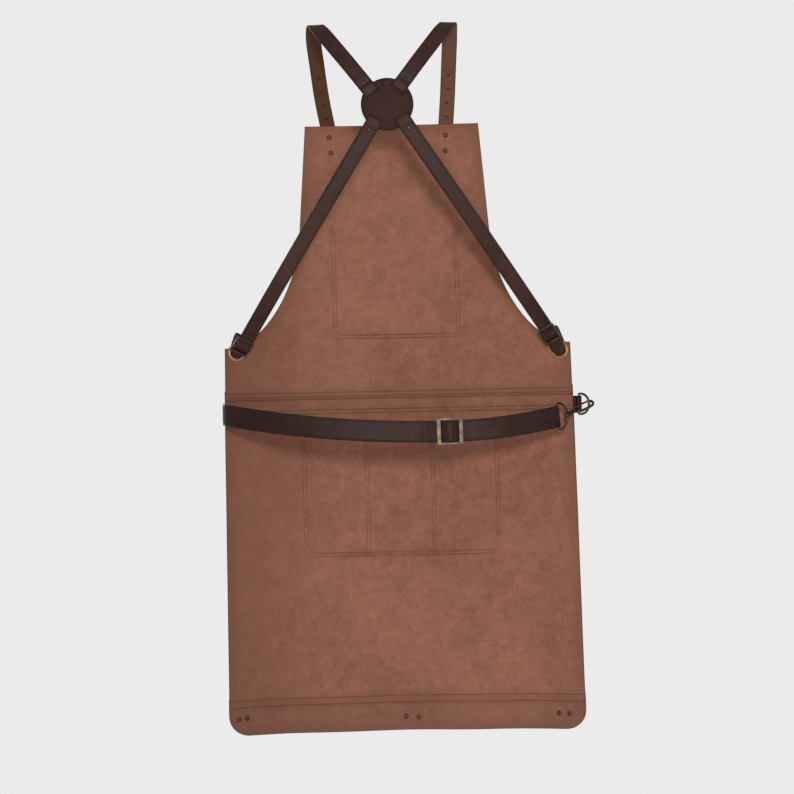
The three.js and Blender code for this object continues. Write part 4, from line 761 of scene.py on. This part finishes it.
# Cross straps: from the disc down to the waist corners, woven through a slide, squeezed through
# the corner eyelet, and brought round the corner's edge back to the slide's middle bar.
UNDER = 1.2 + CLEAR + THICK / 2 + 0.1
WRAP = 2.4 * math.sqrt(0.5) + CLEAR + THICK / 2
OVER = WRAP + THICK + GAP + 0.1
BEND = 14 - 2.4 - 0.8


def weave(over, under, bend):
    """Rows of along and off of a strap under, over and under the bars of a slide."""
    touch = math.atan2(-under, bend) + math.acos(over / math.hypot(bend, under))
    on_arc = lambda angle: (over * math.cos(angle), over * math.sin(angle))
    high = on_arc(touch)
    half = [(bend + 1.2, -under), (bend + (high[0] - bend) * 0.12, -under + (high[1] + under) * 0.12),
            high, on_arc((touch + math.pi / 2) / 2)]
    return [(-a, o) for a, o in half] + [(0, over)] + half[::-1]


def fold_round(radius, pinch, layer, steps=8):
    """Rows of a strap's end folded round a bar, from one side of the pinch to the other."""
    start = math.pi - math.atan2(layer, pinch) - math.acos(radius / math.hypot(pinch, layer))
    rows = [(radius * math.cos(start * (1 - 2 * i / steps)), radius * math.sin(start * (1 - 2 * i / steps)))
            for i in range(steps + 1)]
    return [(-pinch, layer)] + rows + [(-pinch, -layer)]


for name, side_of, inset, below, rise, off_slide, tilt in (
    ("left", -1, 17.57, 6.48, 9.8, 15.4, 40),
    ("right", 1, 15.98, 12.96, 28, 14, 24),
):
    ends, end_across = disc_end(*SLITS[f"cross_{name}"])
    across_at, z_at = side_of * (WAIST_HALF - inset), CORNER - below
    centre, near = panel_point(across_at, z_at, 0), -panel_normal(across_at, z_at)
    rivet_place = (ends[-2] + ends[1]) / 2
    up = square(rivet_place - centre, near)
    across = np.cross(up, near)
    edge = 0
    for i in range(61):
        z, half = scoop((0.4 + 0.01 * i) * math.pi / 2)
        point = panel_point(side_of * half, z, 0) - centre
        if abs(point @ across) < STRAP / 2 + 1:
            edge = max(edge, point @ up)
            edge = max(edge, point @ up)
    tilted = math.radians(tilt)
    slide_at = lambda a, o: (rise + a * math.cos(tilted) - o * math.sin(tilted),
                             off_slide + a * math.sin(tilted) + o * math.cos(tilted))
    rows = [(*slide_at(1.5 * BEND, -UNDER - GAP), 1)]
    rows += [(*slide_at(a, o), 1) for a, o in weave(OVER, UNDER, BEND)[::-1]]
    rows.append((*slide_at(-1.35 * BEND, -UNDER - GAP), 1))
    behind = -LEATHER - 0.85 - 0.8 - 1.1 - THICK / 2
    pinch = 17.4 / STRAP
    rows += [(1.5, 4.6, 0.9), (-3.2, 3.6, pinch), (-5.4, 1.2, pinch), (-5.6, -1.4, pinch),
             (-4.6, behind + 1.4, pinch), (-1.5, behind, pinch), (6, behind, 0.9), (edge - 4, behind, 1),
             (edge + 1.5, behind + 1.1, 1), (edge + 3, -LEATHER / 2, 1), (edge + 2.2, 1.6, 1)]
    bar = np.array(slide_at(0, 0))
    to_bar = unit(bar - np.array([edge + 2.2, 1.6]))
    beside = np.array([-to_bar[1], to_bar[0]])
    layer = (THICK + GAP) / 2
    for out, off in [(-11, layer)] + fold_round(WRAP, 2.2 * WRAP, layer) + [(-11, -layer)]:
        p = bar + to_bar * out + beside * off
        rows.append((p[0], p[1], 1))
    corner = [(centre + up * r + near * o, across, narrow) for r, o, narrow in rows]
    facing = end_across * np.sign(end_across @ across)
    main = []
    for i in range(1, 10):
        share = i / 10
        place = ends[-1] * (1 - share) + corner[0][0] * share
        place = place - BACK * 14 * 4 * share * (1 - share)
        main.append((place, square(facing * (1 - share) + across * share, corner[0][0] - ends[-1])))
    stations = [(p, facing) for p in ends] + main + corner
    strap, reach = band_mesh(f"cross_strap_leather_{name}", stations, STRAP, THICK,
                             [strap_grain, strap_flesh, strap_cut])
    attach(strap, "apron")
    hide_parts(f"cross_strap_{name}")

# Belt: 35 mm wide, in two pieces. The left one is sewn along the skirt's front, goes round its
# left edge and across the back to the buckle, where its end is folded round the middle bar. The
# right one passes the buckle, and its other end is folded round the snap's eye.
BELT = 35.0
BELT_RISE, BELT_LOW_X, BELT_DEPTH = 34.0, 70.0, 90.0
BUCKLE_X, SNAP_X = 84.0, 260.93
FRAME = 21.0
low_z = CORNER - 142
left_z = low_z + BELT_RISE
middle_off = SKIRT_OFFSET + LEATHER / 2
edge_radius = LEATHER / 2 + GAP + CLEAR + THICK / 2
left_half = float(skirt_half(left_z))
left_edge = panel_point(-left_half, left_z, middle_off)
belt_left_x, belt_right_x = left_edge[0] - edge_radius, SNAP_X * 1.065


def belt_point(degrees):
    turned_by = math.radians(degrees)
    reach = -belt_left_x if degrees < 0 else belt_right_x
    x = math.copysign(1, degrees) * reach * abs(math.sin(turned_by)) ** (2 / 2.6) if degrees else 0.0
    y = left_edge[1] - (left_edge[1] + BELT_DEPTH) * math.cos(turned_by)
    rise = BELT_RISE * ((x - BELT_LOW_X) / (belt_left_x - BELT_LOW_X)) ** 2
    return np.array([x, y, low_z + rise * (2 if x > BELT_LOW_X else 1)])


belt_rough = [belt_point(d) for d in range(-90, 71, 5)]
belt_line = np.array([through(belt_rough, i / 1600) for i in range(1601)])
belt_reach = reaches(belt_line)


def belt_station(reach, off):
    at = lambda r: np.array([np.interp(r, belt_reach, belt_line[:, k]) for k in range(3)])
    reach = min(max(reach, 0), belt_reach[-1])
    along = unit(at(min(reach + 1, belt_reach[-1])) - at(max(reach - 1, 0)))
    across = square(UP, along)
    out = np.cross(across, along)
    out = out if out[1] < 0 else -out
    return at(reach) + out * off, across, along, out


buckle_reach = float(np.interp(BUCKLE_X, belt_line[:, 0], belt_reach))
eye_reach = float(np.interp(SNAP_X, belt_line[:, 0], belt_reach))
TAIL = 46.0
B_UNDER = 1.5 + 0.8 + THICK / 2
STEP = THICK + 0.45
B_WRAP = math.hypot(4, 3) / 2 + CLEAR + THICK / 2
B_BEND = FRAME - 6 - 0.4
LIE = STEP / 2
L_UNDER = B_UNDER + STEP
slope = 0.5 * LIE - 0.5 * B_UNDER
right_pass = [(-TAIL, LIE), (-0.87 * TAIL, LIE), (-0.68 * TAIL, slope), (-FRAME, -B_UNDER)]
right_pass += weave(B_WRAP + STEP, B_UNDER, B_BEND)
right_pass += [(FRAME, -B_UNDER), (1.4 * FRAME, -0.5 * B_UNDER), (1.8 * FRAME, -0.1 * B_UNDER)]
left_pass = [(-1.7 * TAIL, 0), (-1.5 * TAIL, -0.3 * LIE), (-1.25 * TAIL, -LIE), (-TAIL, -LIE), (-0.87 * TAIL, -LIE),
             (-0.68 * TAIL, slope - STEP), (-FRAME, -L_UNDER)]
left_pass += weave(B_WRAP, L_UNDER, B_BEND - 0.4 * STEP)[:4]
for i in range(9):
    angle = math.pi / 2 + (0.3 - math.pi) * i / 8
    left_pass.append((B_WRAP * math.cos(angle), B_WRAP * math.sin(angle)))
left_pass += [(-B_BEND, -L_UNDER - STEP), (-FRAME, -L_UNDER - STEP), (-0.68 * TAIL, slope - 2 * STEP),
              (-0.87 * TAIL, -LIE - STEP), (-TAIL, -LIE - STEP), (-62, -LIE - STEP)]

stations = []
for share in (1, 0.66, 0.33, 0.03):
    x = -left_half + 62 * share
    stations.append((panel_point(x, left_z, middle_off + edge_radius), square(UP, panel_normal(x, left_z))))
normal = panel_normal(-left_half, left_z)
start_turn = math.atan2(normal[1], normal[0])
for share in (0.15, 0.4, 0.7):
    angle = start_turn + (math.pi - start_turn) * share
    stations.append((left_edge + edge_radius * np.array([math.cos(angle), math.sin(angle), 0]), UP))
start_pass = buckle_reach - 1.7 * TAIL
stations += [belt_station(start_pass * i / 16, 0)[:2] for i in range(16)]
stations += [belt_station(buckle_reach + a, o)[:2] for a, o in left_pass]
belt_grain = grain_leather("belt_grain", (0.035, 0.0145, 0.012), 0.42)
belt_left, left_reach = band_mesh("belt_leather_left", stations, BELT, THICK, [belt_grain, strap_flesh, strap_cut])
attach(belt_left, "apron")
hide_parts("belt_left")

eye_place, eye_up, eye_along, eye_out = belt_station(eye_reach, -(THICK + GAP) / 2)
eye_wrap = 1.6 + CLEAR + THICK / 2 + 0.1
open_from = eye_reach - 3.6 * eye_wrap
run_from = buckle_reach + 2.1 * FRAME
eye_layer = (THICK + GAP) / 2
stations = [belt_station(buckle_reach + a, o)[:2] for a, o in right_pass]
stations += [belt_station(run_from + (open_from - run_from) * i / 8, 0)[:2] for i in range(9)]
stations += [(eye_place + eye_along * a + eye_out * o, square(eye_up, eye_along))
             for a, o in fold_round(eye_wrap, 2.2 * eye_wrap, eye_layer)]
stations += [belt_station(open_from - 30 * share, -2 * eye_layer)[:2] for share in (0, 0.33, 0.66, 1)]
belt_right, right_reach = band_mesh("belt_leather_right", stations, BELT, THICK,
                                    [belt_grain, strap_flesh, strap_cut])
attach(belt_right, "apron")
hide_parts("belt_right")

belt_rows = []
for at, off in ((buckle_reach - 57, -LIE), (buckle_reach - 60.5, -LIE), (open_from - 3, 0), (open_from - 26, 0)):
    place, across, _, _ = belt_station(at, off + THICK / 2 + 0.1)
    belt_rows.append([place + across * v for v in np.linspace(-13.5, 13.5, 8)])
front = [panel_point(-left_half + s, left_z + v, middle_off + edge_radius + THICK / 2 + 0.1)
         for s, v in ((8, -13.5), (58, -13.5), (58, 13.5), (8, 13.5), (8, -13.5))]
belt_rows.append([a + (b - a) * t for a, b in zip(front, front[1:]) for t in np.linspace(0, 1, 12)[:-1]])
stitch("belt_stitches", belt_rows, 3.8, 3.0, 1.0)

# Ring tab: a folded strip that holds the ring's straight side, sewn to the skirt's front edge.
TAB_THICK = 2.0
ring_z = CORNER - 102.5
ring_half = float(skirt_half(ring_z))
tab_middle = SKIRT_OFFSET + LEATHER + LAY + TAB_THICK + GAP / 2
sideways = square(EAST, panel_normal(ring_half, ring_z))
tab_layer = (TAB_THICK + GAP) / 2
tab_wrap = 2 + CLEAR + TAB_THICK / 2
top_layer = [(out, tab_layer) for out in (0, -15.2, -30.4, -46)]
tab_line = [(out, -off) for out, off in top_layer[::-1]]
tab_line += [(8.5 + out, off) for out, off in fold_round(tab_wrap, 2.2 * tab_wrap, -tab_layer)]
stations = []
for out, off in tab_line + top_layer:
    onto = min(out, 0)
    stations.append((panel_point(ring_half + onto, ring_z, tab_middle + off) + sideways * (out - onto),
                     square(UP, panel_normal(ring_half + onto, ring_z))))
tab, tab_reach = band_mesh("ring_tab_leather", stations, 27, TAB_THICK, [belt_grain, belt_grain, strap_cut], 0.45)
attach(tab, "apron")
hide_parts("d_ring_tab")
tab_face = tab_middle + tab_layer + 1.1
tab_rows = [panel_point(ring_half + out, ring_z + np.linspace(-10.5, 10.5, 7), tab_face) for out in (-4, -42)]
tab_rows += [panel_point(ring_half + np.linspace(-42, -4, 10), ring_z + v, tab_face) for v in (-10.5, 10.5)]
stitch("tab_stitches", tab_rows, 3.6, 2.9, 0.9)

# Metal: cast and stamped fittings. Each one is smoothed from its solid, or has its edges rounded,
# and dull patina lies on it in patches.
def metal(name, colour, roughness, patina, amount):
    s = Shader(name)
    wear = s.span(s.noise(70, 4, 0.55), 0.3, 0.7)
    s.set(Base_Color=s.mix(s.times(wear, amount), colour, patina), Metallic=1.0)
    s.set(Roughness=s.span(wear, 0, 1, roughness, roughness + 0.14))
    s.set(Normal=s.bump(s.noise(900, 3, 0.6), 0.00005, 0.2, s.bump(wear, 0.0001, 0.2)))
    return s.material


def smoothed(node, name, material, body, voxel=0.35, rounds=6, bevel=0.0, swell=0.0):
    """A finer copy of a CAD node: remeshed and relaxed, or with its edges bevelled."""
    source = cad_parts[node]
    mesh = source.data.copy()
    mesh.transform(source.matrix_world)
    mesh.materials.clear()
    mesh.materials.append(material)
    piece = placed(name, mesh)
    sharp = math.radians(40)
    if bevel:
        steps = [("WELD", dict(merge_threshold=0.00002)),
                 ("BEVEL", dict(width=bevel * 0.001, segments=3, limit_method="ANGLE", angle_limit=sharp))]
    else:
        steps = [("REMESH", dict(mode="VOXEL", voxel_size=voxel * 0.001)),
                 ("SMOOTH", dict(factor=0.5, iterations=rounds))]
    if swell:
        steps.append(("DISPLACE", dict(strength=swell * 0.001, mid_level=0)))
    made = modified(piece, *steps)
    made.shade_smooth()
    if bevel:
        made.set_sharp_from_angle(angle=sharp)
    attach(piece, body)
    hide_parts(node)


brass = metal("aged_brass", (0.135, 0.11, 0.078), 0.42, (0.07, 0.056, 0.04), 0.8)
pale = metal("pale_brass", (0.62, 0.42, 0.28), 0.32, (0.36, 0.23, 0.14), 0.6)
snap_metal = metal("snap_brass", (0.14, 0.1, 0.055), 0.3, (0.045, 0.033, 0.019), 0.9)
ring_metal = metal("ring_brass", (0.14, 0.115, 0.095), 0.34, (0.06, 0.048, 0.04), 0.9)
bronze = metal("dark_bronze", (0.1, 0.07, 0.042), 0.52, (0.055, 0.04, 0.026), 0.8)

for node in ("cross_buckle_left", "cross_buckle_right", "belt_buckle"):
    smoothed(node, f"{node}_brass", brass, "apron", bevel=0.55)
smoothed("snap_eye", "snap_eye_brass", snap_metal, "apron", rounds=12, swell=0.3)
smoothed("d_ring", "d_ring_brass", ring_metal, "apron", rounds=10, swell=0.1)
smoothed("snap_hook", "snap_hook_brass", snap_metal, "hook", rounds=8)
smoothed("snap_gate", "snap_gate_brass", snap_metal, "gate", rounds=8)
for node in ("corner_eyelet_left", "corner_eyelet_right"):
    smoothed(node, f"{node}_brass", pale, "apron", voxel=0.3, rounds=6)
for node in [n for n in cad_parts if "rivet" in n]:
    smoothed(node, f"{node}_bronze", bronze, "apron", voxel=0.3, rounds=8)

# Studio: a pale floor out of view below and an even pale backdrop. The key light stands above the
# camera and a little to its right, a weaker fill below it, and a large light behind the apron.
floor_shader = Shader("studio_floor")
floor_tone = floor_shader.mix(floor_shader.noise(3, 2), (0.78, 0.78, 0.78), (0.82, 0.82, 0.82))
floor_shader.set(Base_Color=floor_tone, Roughness=0.9)
bpy.ops.mesh.primitive_plane_add(size=1)
floor = bpy.context.object
floor.name = "studio_floor"
floor.data.transform(Matrix.Translation((0, -0.65, -1.45)) @ Matrix.Diagonal((6, 3, 1, 1)))
floor.data.materials.append(floor_shader.material)
floor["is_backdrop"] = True

world = bpy.data.worlds.new("studio")
scene.world = world
world.use_nodes = True
tree = world.node_tree
sky = tree.nodes["Background"]
sky.inputs["Color"].default_value = (1.0, 1.0, 1.0, 1)
sky.inputs["Strength"].default_value = 0.42
seen = tree.nodes.new("ShaderNodeBackground")
seen.inputs["Color"].default_value = (0.83, 0.83, 0.83, 1)
seen.inputs["Strength"].default_value = 1.0
ray = tree.nodes.new("ShaderNodeLightPath")
choose = tree.nodes.new("ShaderNodeMixShader")
tree.links.new(ray.outputs["Is Camera Ray"], choose.inputs["Fac"])
tree.links.new(sky.outputs["Background"], choose.inputs[1])
tree.links.new(seen.outputs["Background"], choose.inputs[2])
tree.links.new(choose.outputs["Shader"], tree.nodes["World Output"].inputs["Surface"])


def softbox(name, place, target, size, power):
    light = bpy.data.lights.new(name, "AREA")
    light.shape = "RECTANGLE"
    light.size = light.size_y = size
    light.energy = power
    lamp = placed(name, light)
    lamp.location = place
    lamp.rotation_euler = (Vector(target) - Vector(place)).to_track_quat("-Z", "Y").to_euler()


softbox("key", (0.36, -3.95, 0.2), (0, 0, -0.55), 0.5, 64)
softbox("fill", (0.3, -3.8, -1.3), (0, 0, -0.6), 0.5, 22)
softbox("rear", (-1.2, 3.4, 0.5), (0, 0, -0.6), 1.4, 70)

# The camera's roll is the photo's own tilt.
camera = placed("camera", bpy.data.cameras.new("camera"))
camera.data.lens = 120
camera.data.sensor_width = 36
camera.location = (0, -4.34, -0.61)
camera.rotation_euler = (math.radians(90), math.radians(1.2), 0)
scene.camera = camera
scene.view_settings.view_transform = "Standard"

low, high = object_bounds()
